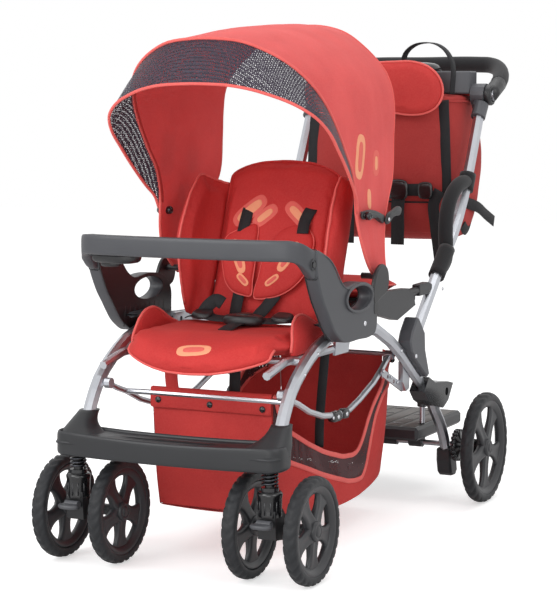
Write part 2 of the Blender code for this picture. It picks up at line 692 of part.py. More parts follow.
def make_tray():
    end_x = ARM_INNER_X + ARM_THICK / 2
    right = [(end_x, TRAY_JOINT_Y - GAP), (end_x, 0.094), (0.2270, 0.074), (0.212, 0.060), (0.188, 0.0515),
             (0.150, 0.0465), (0.080, 0.0415)]
    plan = [(x, y, 0) for x, y in right] + [(0, 0.040, 0)] + [(-x, y, 0) for x, y in reversed(right)]
    path = smooth_path(plan, 1)
    rings = []
    for k, point in enumerate(path):
        along = path[min(k + 1, len(path) - 1)] - path[max(k - 1, 0)]
        if k == 0 or k == len(path) - 1:
            along = Vector((0, -1, 0)) if k == 0 else Vector((0, 1, 0))
        drop = min(1.0, max(0.0, (abs(point.x) - 0.150) / (end_x - 0.150)))
        drop = drop * drop * (3 - 2 * drop)
        rings.append(tray_section(point.x, point.y, along, 0.5830 - 0.0355 * drop, 0.6230 - 0.0200 * drop,
                                  TRAY_THICK / 2))
    band = loft("tray", rings)
    for _, side in SIDES:
        band = union(band, tongue_box("tongue", side, 0))
        band = cut(band, cross_rod("pocket", side * (end_x + TRAY_THICK / 2 - 0.0065), side * (end_x + 0.03),
                                   (0.0975, 0.577), BUTTON_R + RUNNING, 14))
    return finish(band, GREY_PLASTIC)


def make_tray_button(tag, side):
    outer = ARM_INNER_X + ARM_THICK / 2 + TRAY_THICK / 2
    button = cross_rod("tray_button_" + tag, side * (outer - 0.0030), side * (outer + 0.0018), (0.0975, 0.577),
                       BUTTON_R, 14)
    return finish(button, BLACK_PLASTIC, (side * outer, 0.0975, 0.577))


def make_seat_frame():
    frame = None
    for _, side in SIDES:
        x = side * RAIL_X
        rail = tube("seat_frame", side_path(x, [(0.045, 0.376), (0.080, 0.384), (0.118, RAIL_Z), (0.388, RAIL_Z)], 1), RAIL_R)
        low, high = sorted((side * (RAIL_X + 0.0030), side * (RAIL_X + 0.0030 + SEAT_PLATE_T)))
        ear = plate("ear", [(0.328, RAIL_Z - 0.012), (0.390, RAIL_Z - 0.012), (0.401, 0.412), (0.401, 0.428), (0.380, 0.446), (0.333, 0.446)],
                    low, high)
        rail = cut(union(rail, ear), bored_end(x))
        frame = rail if frame is None else union(frame, rail)
    reach = FRAME_X - TUBE_R - GAP
    frame = union(frame, cross_rod("cross", -reach, reach, SEAT_CROSS, RAIL_R - 0.0012, 10),
                  cross_rod("back_foot", -RAIL_X - 0.005, RAIL_X + 0.005, RECLINE_PIN, BACK_FOOT_R, 12))
    frame.name = "seat_frame"
    return finish(frame, ALUMINIUM)


def make_seat_pad():
    columns = (-1.0, -0.88, -0.5, 0.0, 0.5, 0.88, 1.0)
    floor = RAIL_Z + RAIL_R + GAP + SEAT_THICK / 2
    stations = ((0.0, 0), (0.3, 0), (0.65, 0), (1.0, 1), (1.35, 1), (1.8, 1), (2.0, 1))
    rows = []
    for place, flat in stations:
        row = []
        for c in columns:
            x = c * (0.157 if place < 1 else 0.176)
            bow = abs(c) ** 2.2
            front = 0.062 + 0.046 * bow
            drop = 0.368 + 0.030 * bow
            if place <= 1.0:
                bend = math.sin(place * math.pi / 2)
                y = front + (0.146 - front) * (1 - math.cos(place * math.pi / 2))
                z = drop + (floor - drop) * bend
            else:
                y = 0.146 + (0.352 - 0.146) * (place - 1.0)
                z = floor
            if flat and abs(c) > 0.85:
                lift = math.sin(min(1.0, (place - 1.0) / 0.9) * math.pi)
                z += 0.038 * max(0.0, lift) if abs(c) == 1.0 else 0.010 * max(0.0, lift)
            row.append((x, y, z))
        rows.append(row)
    return finish(cushion("seat_pad", rows, SEAT_THICK, 0.42, seams=(1, 5)), RED_CLOTH)


def back_point(x, along, forward):
    y = RECLINE_PIN[0] + along * math.sin(BACK_LEAN) - forward * math.cos(BACK_LEAN)
    z = RECLINE_PIN[1] + along * math.cos(BACK_LEAN) + forward * math.sin(BACK_LEAN)
    return (x, y, z)


def make_backrest():
    spread = ((-0.169, 0.100), (-0.171, 0.058), (-0.158, 0.018), (-0.118, 0.002), (0, 0.0), (0.118, 0.002), (0.158, 0.018), (0.171, 0.058), (0.169, 0.100))
    heights = (0.0031, 0.075, 0.150, 0.235, 0.305, 0.335)
    rows = []
    for k, along in enumerate(heights):
        share = (0.25, 0.85, 1.0, 0.95, 0.38, 0.10)[k]
        narrow = (0.93, 0.98, 1.0, 0.98, 0.88, 0.74)[k]
        rows.append([back_point(x * narrow, along + 0.010 * (1 - (x / 0.171) ** 2) * (along > 0.3),
                                forward * share) for x, forward in spread])
    return finish(cushion("backrest_pad", rows, BACK_THICK, 0.42, seams=(3, 5)), RED_CLOTH, (0, *RECLINE_PIN))


def edge_lean(angle, offset, r, limit):
    """Lean of an edge that lies in a flat plane set back from the pin by offset, at distance r from the pin."""
    if offset == 0:
        return angle
    return max(angle - math.degrees(math.asin(min(0.95, offset / r))), limit)


def canopy_shell(name, span, layer, steps, material, rear_offset=0.0, front_offset=0.0):
    radius = CANOPY_R - layer * CANOPY_STEP
    half = CANOPY_HALF - layer * CANOPY_STEP
    shoulder = radius * CANOPY_SHOULDER
    start = CANOPY_PIN_R + GAP
    outline = []
    for k in range(-9, 10):
        level = 9 - abs(k)
        if level < 3:
            share = level / 3
            outline.append((math.copysign(half * (0.960 - 0.014 * share), k), start + (shoulder - start) * share))
        else:
            angle = math.pi / 2 * (level - 3) / 6
            x = half * 0.946 * math.cos(angle) ** (2 / CANOPY_POWER)
            r = shoulder + (radius - shoulder) * math.sin(angle) ** (2 / CANOPY_POWER)
            outline.append((math.copysign(x, k), r))
    bm = bmesh.new()
    rows = []
    for step in range(steps + 1):
        row = []
        for x, r in outline:
            back = edge_lean(span[0], rear_offset, r, REAR_LIMIT)
            front = edge_lean(span[1], front_offset, r, HEM_LIMIT)
            lean = math.radians(back + (front - back) * step / steps)
            row.append(bm.verts.new((x, CANOPY_PIN[0] - r * math.sin(lean), CANOPY_PIN[1] + r * math.cos(lean))))
        rows.append(row)
    for low, high in zip(rows, rows[1:]):
        for a in range(len(low) - 1):
            bm.faces.new((low[a], low[a + 1], high[a + 1], high[a]))
    bmesh.ops.recalc_face_normals(bm, faces=bm.faces)
    outward = sum((f.normal.dot(f.calc_center_median() - Vector((0, *CANOPY_PIN))) for f in bm.faces))
    if outward < 0:
        bmesh.ops.reverse_faces(bm, faces=bm.faces)
    mesh = bpy.data.meshes.new(name)
    bm.to_mesh(mesh)
    bm.free()
    thing = new_object(name, mesh)
    wall = thing.modifiers.new("cloth", "SOLIDIFY")
    wall.thickness = CANOPY_T
    wall.offset = -1
    return finish(bake(thing), material, (0, *CANOPY_PIN))


def make_brace_front():
    frame = None
    path = [BRACE_FRONT_PIN, (0.1120, 0.3240), (0.1485, 0.3120), (0.2010, 0.2890), (0.2600, 0.2720),
            BRACE_ELBOW]
    for _, side in SIDES:
        x = side * BRACE_X
        link = tube("brace_front", side_path(x, path, 1), THIN_R)
        knuckle = cross_rod("knuckle", x - THIN_R, x + THIN_R, BRACE_FRONT_PIN, 0.0105, 10)
        elbow = cross_rod("elbow", x - THIN_R, x + THIN_R, BRACE_ELBOW, 0.0095, 10)
        link = union(link, knuckle, elbow)
        frame = link if frame is None else union(frame, link)
    bar = tube("bar", smooth_path([(-BRACE_X, 0.1490, 0.3118), (-0.150, BASKET_BAR_Y, BASKET_BAR_Z),
                                   (0, BASKET_BAR_Y, BASKET_BAR_Z), (0.150, BASKET_BAR_Y, BASKET_BAR_Z),
                                   (BRACE_X, 0.1490, 0.3118)], 1), THIN_R - 0.0005)
    frame = union(frame, bar)
    frame.name = "brace_front"
    return finish(frame, ALUMINIUM, (0, *BRACE_FRONT_PIN))


def make_brace_rear():
    frame = None
    path = [(BRACE_ELBOW[0] + 0.0125, BRACE_ELBOW[1] - 0.0005), (0.3867, 0.2653), (0.4357, 0.2782), (0.5061, 0.3028),
            (0.5480, 0.3250), BRACE_REAR_PIN]
    for _, side in SIDES:
        x = side * BRACE_X
        link = tube("brace_rear", side_path(x, path, 1), THIN_R)
        knuckle = cross_rod("knuckle", x - side * (THIN_R + 0.0011), side * (FRAME_X - OVAL_W / 2 - GAP), BRACE_REAR_PIN, 0.0095, 10)
        frame = union(link, knuckle) if frame is None else union(frame, link, knuckle)
    bar = cross_rod("bar", -BRACE_X - 0.003, BRACE_X + 0.003, (BRACE_REAR_PIN[0] + 0.0011, BRACE_REAR_PIN[1] + 0.0013),
                    THIN_R - 0.0013, 12)
    frame = union(frame, bar)
    frame.name = "brace_rear"
    return finish(frame, ALUMINIUM, (0, *BRACE_REAR_PIN))


def make_handle_bracket(tag, side):
    outline = [(0.6180, 0.3960), (0.6080, 0.3760), (0.6150, 0.3560), (0.6420, 0.3300), (0.7020, 0.2900),
               (0.7140, 0.2960), (0.6900, 0.3500), (0.6870, 0.3880), (0.6560, 0.4200), (0.6450, 0.4240)]
    x = side * HANDLE_X
    outer = side * (HANDLE_X + TUBE_R + 0.004)
    body = plate("handle_bracket_" + tag, outline, *sorted((side * (FRAME_X - OVAL_W / 2), outer)), bevel=0.003)
    rail = oval(tube("rail", side_path(side * FRAME_X, REAR_TUBE[1:], 1), OVAL_H / 2 + GAP), side * FRAME_X)
    seat = tube("seat", [p + Vector((0, -0.0002, -0.0003)) if k == 0 else p for k, p in
                         enumerate(handle_path(side)[:6])], TUBE_R + GAP)
    return finish(cut(body, rail, seat), GREY_PLASTIC, (x, 0.637, 0.343))


def make_handle_tube(tag, side):
    return finish(tube("handle_tube_" + tag, handle_path(side), TUBE_R), ALUMINIUM)


def make_grab_grip(tag, side):
    x = side * HANDLE_X
    loop = tube("grab_grip_" + tag, smooth_path([(side * across, y, z) for across, y, z in GRIP_LOOP], 1), GRIP_R)
    sleeve = rod("sleeve", (x, 0.7890, 0.4965), (x, 0.8510, 0.5505), TUBE_R + 0.0047, 12)
    hook = rod("hook", (x, 0.9610, 0.6790), (x, 0.9860, 0.7250), TUBE_R + 0.0047, 12)
    grip = union(union(loop, sleeve), hook)
    return finish(cut(grip, tube("bore", handle_path(side), TUBE_R + GAP)), GRIP_FOAM)


def joint_down():
    end = Vector((0, *HANDLE_TUBE[-1]))
    return (end - Vector((0, *HANDLE_JOINT))).normalized()


def make_handle_joint(tag, side):
    centre = Vector((side * HANDLE_X, *HANDLE_JOINT))
    down = joint_down()
    drum = cross_rod("handle_joint_" + tag, side * JOINT_INNER_X, side * JOINT_OUTER_X, HANDLE_JOINT, JOINT_R, 16)
    neck_x = side * 0.2005
    neck = rod("neck", (neck_x, *HANDLE_JOINT), tuple(Vector((neck_x, *HANDLE_JOINT)) + down * 0.034), 0.0135, 12)
    collar = rod("collar", tuple(centre + down * 0.0265), tuple(centre + down * 0.062), TUBE_R + 0.004)
    body = union(drum, neck, collar)
    seat = tube("seat", handle_path(side)[-4:-1] + [handle_path(side)[-1] - down * GAP], TUBE_R + GAP)
    return finish(cut(body, seat), GREY_PLASTIC)


def make_handlebar():
    hub_x = JOINT_OUTER_X + GAP + BAR_HUB_T / 2
    arm = Vector((BAR_CROSS[0] - HANDLE_JOINT[0], BAR_CROSS[1] - HANDLE_JOINT[1]))
    right = []
    for share, x in ((0.08, hub_x), (0.62, hub_x), (0.78, hub_x - 0.003), (0.90, hub_x - 0.013),
                     (0.975, hub_x - 0.031), (1.0, hub_x - 0.060)):
        right.append((x, HANDLE_JOINT[0] + share * arm.x, HANDLE_JOINT[1] + share * arm.y))
    middle = [(0, *BAR_CROSS)]
    path = smooth_path(right + middle + [(-x, y, z) for x, y, z in reversed(right)], 1)
    inner = JOINT_OUTER_X + GAP
    bar = tube("handlebar", path, BAR_FOAM_R)
    keep = [box("keep", (-inner, HANDLE_JOINT[0] - 0.06, HANDLE_JOINT[1] - 0.06),
                (inner, HANDLE_JOINT[0] + 0.055, HANDLE_JOINT[1] + 0.06))]
    bar = cut(bar, *keep)
    for _, side in SIDES:
        hub = cross_rod("hub", side * inner, side * (inner + BAR_HUB_T), HANDLE_JOINT, BAR_HUB_R, 18)
        bar = union(bar, hub)
    for _, side in SIDES:
        bar = cut(bar, cross_rod("pocket", side * (inner + BAR_HUB_T - 0.0055), side * (inner + 0.05), HANDLE_JOINT,
                                 TILT_BUTTON_R + RUNNING, 16))
    bar.name = "handlebar"
    return finish(bar, GRIP_FOAM, (0, *HANDLE_JOINT))


def make_tilt_button(tag, side):
    face = JOINT_OUTER_X + GAP + BAR_HUB_T
    button = cross_rod("tilt_button_" + tag, side * (face - 0.0020), side * (face + 0.0040), HANDLE_JOINT,
                       TILT_BUTTON_R, 16)
    return finish(button, GREY_PLASTIC, (side * face, *HANDLE_JOINT))


def make_console():
    reach = JOINT_INNER_X - GAP
    low_z, high_z = CONSOLE_Z
    bowl = plate("console", [(-reach, 1.052), (-0.150, 1.030), (-0.100, CONSOLE_Y[0]), (0.100, CONSOLE_Y[0]),
                             (0.150, 1.030), (reach, 1.052), (reach, 1.096), (0.160, 1.118), (0.100, CONSOLE_Y[1]),
                             (-0.100, CONSOLE_Y[1]), (-0.160, 1.118), (-reach, 1.096)], low_z, high_z, "XY",
                 bevel=0.003)
    cavity = box("cavity", (-LID_HALF + 0.006, CONSOLE_Y[0] + CONSOLE_WALL, low_z + CONSOLE_WALL),
                 (LID_HALF - 0.006, CONSOLE_Y[1] - CONSOLE_WALL - 0.004, high_z + 0.01))
    cups = [rod("cup", (side * CUP_X, 1.074, high_z - CUP_DEPTH), (side * CUP_X, 1.074, high_z + 0.01), CUP_R, 18)
            for _, side in SIDES]
    return finish(cut(bowl, cavity, *cups), GREY_PLASTIC)


LID_HINGE = (CONSOLE_Y[1] - 0.003, CONSOLE_Z[1] + GAP + 0.0030)


def make_console_lid():
    low = CONSOLE_Z[1] + GAP
    lid = plate("console_lid", [(-LID_HALF, CONSOLE_Y[1] - 0.004), (-LID_HALF, CONSOLE_Y[0] + 0.012),
                                (-LID_HALF + 0.012, CONSOLE_Y[0] + 0.002), (LID_HALF - 0.012, CONSOLE_Y[0] + 0.002),
                                (LID_HALF, CONSOLE_Y[0] + 0.012), (LID_HALF, CONSOLE_Y[1] - 0.004)],
                low, low + LID_T, "XY", bevel=0.0015)
    barrel = cross_rod("barrel", -0.060, 0.060, LID_HINGE, 0.0028, 12)
    return finish(union(lid, barrel), BLACK_PLASTIC, (0, *LID_HINGE))


def make_bag():
    top = CONSOLE_Z[0] - GAP
    outline = [(BAG_Y[0] + 0.050, BAG_BOTTOM), (BAG_Y[1] - 0.090, BAG_BOTTOM), (BAG_Y[1] - 0.020, 0.640),
               (BAG_Y[1], 0.740), (BAG_Y[1] - 0.010, 0.820), (BAG_Y[1] - 0.050, top - 0.012),
               (BAG_Y[1] - 0.080, top), (BAG_Y[0] + 0.060, top), (BAG_Y[0] + 0.022, top - 0.020),
               (BAG_Y[0], 0.740), (BAG_Y[0] + 0.012, 0.620)]
    return finish(plate("bag", outline, -BAG_HALF, BAG_HALF, bevel=0.016, segments=2), CORAL_CLOTH)


def make_jump_frame():
    board = box("jump_seat_frame", (-JUMP_PLATE_X[0] - 0.004, JUMP_Y[0], JUMP_BOARD_Z[0]),
                (JUMP_PLATE_X[0] + 0.004, JUMP_Y[1], JUMP_BOARD_Z[1]))
    outline = [(0.4560, 0.4480), (0.5600, 0.4260), (0.6570, 0.4480), (0.6480, 0.4700), (0.6200, 0.4860),
               (0.4620, 0.4920), (0.4480, 0.4760)]
    for _, side in SIDES:
        low, high = sorted((side * JUMP_PLATE_X[0], side * JUMP_PLATE_X[1]))
        side_plate = plate("side_plate", outline, low, high)
        stub = rod("stub", (side * 0.205, 0.600, 0.4730), (side * 0.205, 0.700, 0.4760), 0.0085, 14)
        link = plate("link", [(0.680, 0.4640), (0.735, 0.4640), (0.752, 0.4760), (0.752, 0.4840), (0.735, 0.4890), (0.680, 0.4880)],
                     low, high, bevel=0.002)
        board = union(board, side_plate, stub, link)
    for _, side in SIDES:
        board = cut(board, tube("clear", handle_path(side)[:8], TUBE_R + GAP))
    board.name = "jump_seat_frame"
    return finish(board, GREY_PLASTIC)


def make_jump_pad():
    low = JUMP_BOARD_Z[1] + GAP
    rows = []
    for j in range(5):
        y = JUMP_Y[0] + 0.008 + (JUMP_Y[1] - JUMP_Y[0] - 0.016) * j / 4
        rows.append([(x * 0.172, y, low + JUMP_PAD_T / 2) for x in (-1, -0.8, 0, 0.8, 1)])
    return finish(cushion("jump_seat_pad", rows, JUMP_PAD_T, 0.40), RED_CLOTH)


def make_platform():
    deck = box("platform", (-PLATFORM_HALF, PLATFORM_Y[0], PLATFORM_Z[0]),
               (PLATFORM_HALF, PLATFORM_Y[1], PLATFORM_Z[1]), bevel=0.006)
    for _, side in SIDES:
        post = rod("post", (side * POST_X, POST_Y, PLATFORM_Z[1] - 0.006), (side * POST_X, POST_Y, POST_TOP - 0.004), POST_R, 10)
        knob = rod("knob", (side * POST_X, POST_Y, POST_TOP - 0.018), (side * POST_X, POST_Y, POST_TOP), POST_KNOB_R, 10)
        arm = rod("arm", (side * POST_X, POST_Y, POST_TOP - 0.009), (side * (HOUSING_X[0] - GAP),
                  POST_Y, POST_TOP - 0.009), 0.0065, 12)
        hanger = cross_rod("hanger", side * 0.120, side * 0.150, (REAR_AXLE_Y, REAR_WHEEL_R + 0.004), 0.015, 12)
        deck = union(deck, post, knob, arm, hanger)
    for _, side in SIDES:
        deck = cut(deck, cross_rod("axle", side * 0.100, side * 0.165, (REAR_AXLE_Y, REAR_WHEEL_R), REAR_AXLE_R + GAP, 12))
    return finish(deck, BLACK_PLASTIC)


def make_brake_pedal():
    centre = (REAR_AXLE_Y, REAR_WHEEL_R)
    sleeve = cross_rod("brake_pedal", -0.090, 0.090, centre, 0.0105)
    arm = box("arm", (-0.020, REAR_AXLE_Y, 0.1080), (0.020, PEDAL_REACH - 0.03, 0.1170))
    toe = box("toe", (-0.045, PEDAL_REACH - 0.045, 0.1080), (0.045, PEDAL_REACH, 0.1170))
    lever = cut(union(sleeve, arm, toe), cross_rod("bore", -0.1, 0.1, centre, REAR_AXLE_R + RUNNING))
    return finish(lever, BLACK_PLASTIC, (0, *centre))


def rim_height(y):
    """Height of the basket's rim along its side: high at both ends, low where the side opens."""
    rim = ((0.158, 0.322), (0.184, 0.262), (0.255, 0.220), (0.425, 0.166), (0.480, 0.168),
           (0.512, 0.205), (0.548, 0.248), (0.595, 0.290), (0.640, 0.330), (0.702, 0.342))
    for (y_low, z_low), (y_high, z_high) in zip(rim, rim[1:]):
        if y <= y_high:
            share = max(0.0, (y - y_low) / (y_high - y_low))
            return z_low + (z_high - z_low) * share
    return rim[-1][1]


def basket_ring(level, inset):
    """One closed ring of the basket: level 0 at the rim, 1 at the floor."""
    half_lengths = ((0.1580, 0.130), (0.1840, 0.142), (0.2550, 0.163), (0.4250, 0.174),
                    (0.4800, 0.174), (0.5120, 0.174), (0.5480, 0.173), (0.5950, 0.169), (0.6500, 0.161),
                    (0.7000, 0.124))
    ring = []
    for side in (1, -1):
        stations = half_lengths if side == 1 else half_lengths[::-1]
        for y, half in stations:
            rise = rim_height(y)
            floor = 0.100 - 0.055 * math.sin((y - 0.158) / 0.542 * math.pi)
            z = rise + (floor - rise) * level
            drawn = 1 - 0.14 * level
            along = 0.429 + (y - 0.429) * (1 - 0.03 * level)
            if y < 0.2:
                along = y
            ring.append((side * half * drawn * (1 - inset), along, z))
    return ring


def make_basket():
    bm = bmesh.new()
    rings = [[bm.verts.new(p) for p in basket_ring(level, 0)] for level in (0, 0.5, 0.92, 1.0)]
    count = len(rings[0])
    for low, high in zip(rings, rings[1:]):
        for k in range(count):
            bm.faces.new((low[k], low[(k + 1) % count], high[(k + 1) % count], high[k]))
    floor = rings[-1]
    half = count // 2
    for k in range(half - 1):
        bm.faces.new((floor[k], floor[k + 1], floor[count - 2 - k], floor[count - 1 - k]))
    basket = from_bmesh("basket", bm)
    bm = bmesh.new()
    bm.from_mesh(basket.data)
    top = max(bm.faces, key=lambda f: abs(f.normal.z))
    if top.normal.z > 0:
        bmesh.ops.reverse_faces(bm, faces=bm.faces)
    bm.to_mesh(basket.data)
    bm.free()
    wall = basket.modifiers.new("cloth", "SOLIDIFY")
    wall.thickness = BASKET_WALL
    wall.offset = -1
    return finish(bake(basket), RED_CLOTH)


make_footrest()
make_tray()
for side_tag, side_sign in SIDES:
    make_front_tube(side_tag, side_sign)
    make_rear_tube(side_tag, side_sign)
    make_lock_housing(side_tag, side_sign)
    make_rear_leg(side_tag, side_sign)
    make_leg_boot(side_tag, side_sign)
    make_rear_rim(side_tag, side_sign)
    make_rear_tyre(side_tag, side_sign)
    make_strut(side_tag, side_sign)
    make_spring(side_tag, side_sign)
    make_fork(side_tag, side_sign)
    make_swivel_lock(side_tag, side_sign)
    make_armrest(side_tag, side_sign)
    make_tray_button(side_tag, side_sign)
    make_handle_bracket(side_tag, side_sign)
    make_handle_tube(side_tag, side_sign)
    make_grab_grip(side_tag, side_sign)
    make_handle_joint(side_tag, side_sign)
    make_tilt_button(side_tag, side_sign)
    for place_name, direction in (("outer", side_sign), ("inner", -side_sign)):
        make_front_wheel(side_tag, side_sign, place_name, direction)
make_rear_axle()
make_seat_frame()
make_seat_pad()
make_backrest()
canopy_shell("canopy_rear", REAR_SPAN, 0, 3, CORAL_CLOTH, rear_offset=REAR_OFFSET)
canopy_shell("canopy_main", MAIN_SPAN, 1, 4, CORAL_CLOTH)
canopy_shell("canopy_visor", VISOR_SPAN, 2, 3, CORAL_CLOTH, front_offset=HEM_OFFSET)
make_brace_front()
make_brace_rear()
make_handlebar()
make_console()
make_console_lid()
make_bag()
make_jump_frame()
make_jump_pad()
make_platform()
make_brake_pedal()
make_basket()
print("nodes", len([thing for thing in parts.objects if thing.type == "MESH"]),
      "triangles", sum(sum(len(p.vertices) - 2 for p in thing.data.polygons) for thing in parts.objects
                       if thing.type == "MESH"))
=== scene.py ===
import math

import bmesh
import bpy
import numpy as np
from mathutils import Matrix, Vector, noise
from mathutils.bvhtree import BVHTree


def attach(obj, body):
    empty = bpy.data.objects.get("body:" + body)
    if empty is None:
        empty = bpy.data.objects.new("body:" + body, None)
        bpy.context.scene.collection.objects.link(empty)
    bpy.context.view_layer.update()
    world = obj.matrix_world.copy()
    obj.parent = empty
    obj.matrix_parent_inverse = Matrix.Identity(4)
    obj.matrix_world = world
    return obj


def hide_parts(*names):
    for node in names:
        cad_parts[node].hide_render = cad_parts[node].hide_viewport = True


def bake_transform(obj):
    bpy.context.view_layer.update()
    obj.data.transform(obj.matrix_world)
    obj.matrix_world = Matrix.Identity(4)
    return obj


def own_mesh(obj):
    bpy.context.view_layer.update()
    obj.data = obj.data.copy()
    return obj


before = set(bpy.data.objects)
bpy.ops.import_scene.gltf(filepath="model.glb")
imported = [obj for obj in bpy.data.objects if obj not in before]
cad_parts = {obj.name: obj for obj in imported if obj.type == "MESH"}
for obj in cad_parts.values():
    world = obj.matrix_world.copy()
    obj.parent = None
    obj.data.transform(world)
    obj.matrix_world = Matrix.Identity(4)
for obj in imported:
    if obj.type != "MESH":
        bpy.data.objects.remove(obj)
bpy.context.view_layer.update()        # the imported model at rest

middleY = 0.5975         # the frame's origin lies this far behind the front caster stems
sides = (("l", 1), ("r", -1))
print("frame loaded")


def at(x, y, z):         # a point measured from the front caster stems
    return Vector((x, y - middleY, z))


# finishes

def linearTone(hexText):
    parts = [int(hexText[k:k + 2], 16) / 255 for k in (1, 3, 5)]
    return tuple(c / 12.92 if c <= 0.04045 else ((c + 0.055) / 1.055) ** 2.4 for c in parts) + (1.0,)


def addNode(tree, kind, settings=None, links=None):
    node = tree.nodes.new(kind)
    for key, value in (settings or {}).items():
        if isinstance(key, int) or key in node.inputs:
            node.inputs[key].default_value = value
        else:
            setattr(node, key, value)
    for key, source in (links or {}).items():
        tree.links.new(source, node.inputs[key])
    return node


def newFinish(name, shader):
    finish = bpy.data.materials.new(name)
    finish.use_nodes = True
    tree = finish.node_tree
    skin = tree.nodes["Principled BSDF"]
    for key, value in shader.items():
        skin.inputs[key].default_value = value
    return finish, tree, skin


# woven polyester: soft and matt, with a thread grid, slow dye variation and small creases; real threads lie
# 0.3 to 0.5 mm apart and are drawn 2 to 2.6 mm apart, so that the weave shows
def wovenCloth(name, look):
    finish, tree, skin = newFinish(name, {"Roughness": look["roughness"], "IOR": 1.5,
                                          "Sheen Weight": look["sheen"], "Sheen Roughness": 0.45,
                                          "Sheen Tint": linearTone(look["light"]), "Specular IOR Level": 0.3})
    where = addNode(tree, "ShaderNodeTexCoord").outputs["Object"]
    perMetre = 0.314 / look["thread"]      # at scale 1 the wave texture's bands lie 0.314 m apart
    warp = addNode(tree, "ShaderNodeTexWave", {"bands_direction": "X", "Scale": perMetre, "Distortion": 0.8,
                                               "Detail": 1.0, "Detail Scale": 2.0}, {"Vector": where})
    weft = addNode(tree, "ShaderNodeTexWave", {"bands_direction": look["weft"], "Scale": perMetre,
                                               "Distortion": 0.8, "Detail": 1.0, "Detail Scale": 2.0},
                   {"Vector": where})
    weave = addNode(tree, "ShaderNodeMath", {"operation": "MAXIMUM"},
                    {0: warp.outputs["Fac"], 1: weft.outputs["Fac"]})
    dye = addNode(tree, "ShaderNodeTexNoise", {"Scale": 9.0, "Detail": 5.0, "Roughness": 0.55},
                  {"Vector": where})
    slub = addNode(tree, "ShaderNodeTexNoise", {"Scale": 320.0, "Detail": 2.0}, {"Vector": where})
    spread = addNode(tree, "ShaderNodeMapRange", {"From Min": 0.3, "From Max": 0.7},
                     {"Value": dye.outputs["Fac"]})
    ground = addNode(tree, "ShaderNodeMix", {"data_type": "RGBA", 6: linearTone(look["dark"]),
                                             7: linearTone(look["main"])}, {0: spread.outputs["Result"]})
    grain = addNode(tree, "ShaderNodeMapRange",
                    {"From Min": 0.2, "From Max": 0.8, "To Min": 0.0, "To Max": 0.16},
                    {"Value": slub.outputs["Fac"]})
    lit = addNode(tree, "ShaderNodeMix", {"data_type": "RGBA", 7: linearTone(look["light"])},
                  {0: grain.outputs["Result"], 6: ground.outputs[2]})
    tree.links.new(lit.outputs[2], skin.inputs["Base Color"])
    crease = addNode(tree, "ShaderNodeTexNoise", {"Scale": look["creases"], "Detail": 3.0, "Distortion": 0.6},
                     {"Vector": where})
    folds = addNode(tree, "ShaderNodeBump", {"Strength": 0.55, "Distance": look["creaseDepth"]},
                    {"Height": crease.outputs["Fac"]})
    threads = addNode(tree, "ShaderNodeBump", {"Strength": 0.35, "Distance": 0.0004},
                      {"Height": weave.outputs["Value"], "Normal": folds.outputs["Normal"]})
    tree.links.new(threads.outputs["Normal"], skin.inputs["Normal"])
    return finish


# injection-moulded polymer: even colour, rubbed, paler edges and a fine
# spark-eroded grain, drawn about 1 mm wide so that it shows
def mouldedPlastic(name, look):
    finish, tree, skin = newFinish(name, {"Roughness": look["roughness"], "IOR": 1.5,
                                          "Specular IOR Level": look["specular"]})
    where = addNode(tree, "ShaderNodeTexCoord").outputs["Object"]
    cloud = addNode(tree, "ShaderNodeTexNoise", {"Scale": 14.0, "Detail": 4.0}, {"Vector": where})
    mixed = addNode(tree, "ShaderNodeMix", {"data_type": "RGBA", 6: linearTone(look["dark"]),
                                            7: linearTone(look["main"])}, {0: cloud.outputs["Fac"]})
    edge = addNode(tree, "ShaderNodeNewGeometry")
    rub = addNode(tree, "ShaderNodeMapRange", {"From Min": 0.53, "From Max": 0.60, "To Max": 0.35},
                  {"Value": edge.outputs["Pointiness"]})
    worn = addNode(tree, "ShaderNodeMix", {"data_type": "RGBA", 7: linearTone(look["edge"])},
                   {0: rub.outputs["Result"], 6: mixed.outputs[2]})
    tree.links.new(worn.outputs[2], skin.inputs["Base Color"])
    grit = addNode(tree, "ShaderNodeTexNoise", {"Scale": 900.0, "Detail": 2.0}, {"Vector": where})
    bump = addNode(tree, "ShaderNodeBump", {"Strength": look["grain"], "Distance": 0.0004},
                   {"Height": grit.outputs["Fac"]})
    tree.links.new(bump.outputs["Normal"], skin.inputs["Normal"])
    gloss = addNode(tree, "ShaderNodeMapRange", {"To Min": look["roughness"] - 0.06,
                                                 "To Max": look["roughness"] + 0.08},
                    {"Value": cloud.outputs["Fac"]})
    tree.links.new(gloss.outputs["Result"], skin.inputs["Roughness"])
    return finish


# drawn aluminium tube, satin anodised: soft highlights, faint drawing streaks
def satinAluminium(name, look):
    finish, tree, skin = newFinish(name, {"Metallic": 1.0, "Roughness": look["roughness"]})
    where = addNode(tree, "ShaderNodeTexCoord").outputs["Object"]
    cloud = addNode(tree, "ShaderNodeTexNoise", {"Scale": 22.0, "Detail": 5.0, "Roughness": 0.6},
                    {"Vector": where})
    mixed = addNode(tree, "ShaderNodeMix", {"data_type": "RGBA", 6: linearTone(look["dark"]),
                                            7: linearTone(look["main"])}, {0: cloud.outputs["Fac"]})
    tree.links.new(mixed.outputs[2], skin.inputs["Base Color"])
    streak = addNode(tree, "ShaderNodeTexNoise", {"Scale": 420.0, "Detail": 2.0}, {"Vector": where})
    haze = addNode(tree, "ShaderNodeMapRange", {"To Min": look["roughness"] - 0.07,
                                                "To Max": look["roughness"] + 0.09},
                   {"Value": streak.outputs["Fac"]})
    tree.links.new(haze.outputs["Result"], skin.inputs["Roughness"])
    bump = addNode(tree, "ShaderNodeBump", {"Strength": 0.12, "Distance": 0.0003},
                   {"Height": streak.outputs["Fac"]})
    tree.links.new(bump.outputs["Normal"], skin.inputs["Normal"])
    return finish


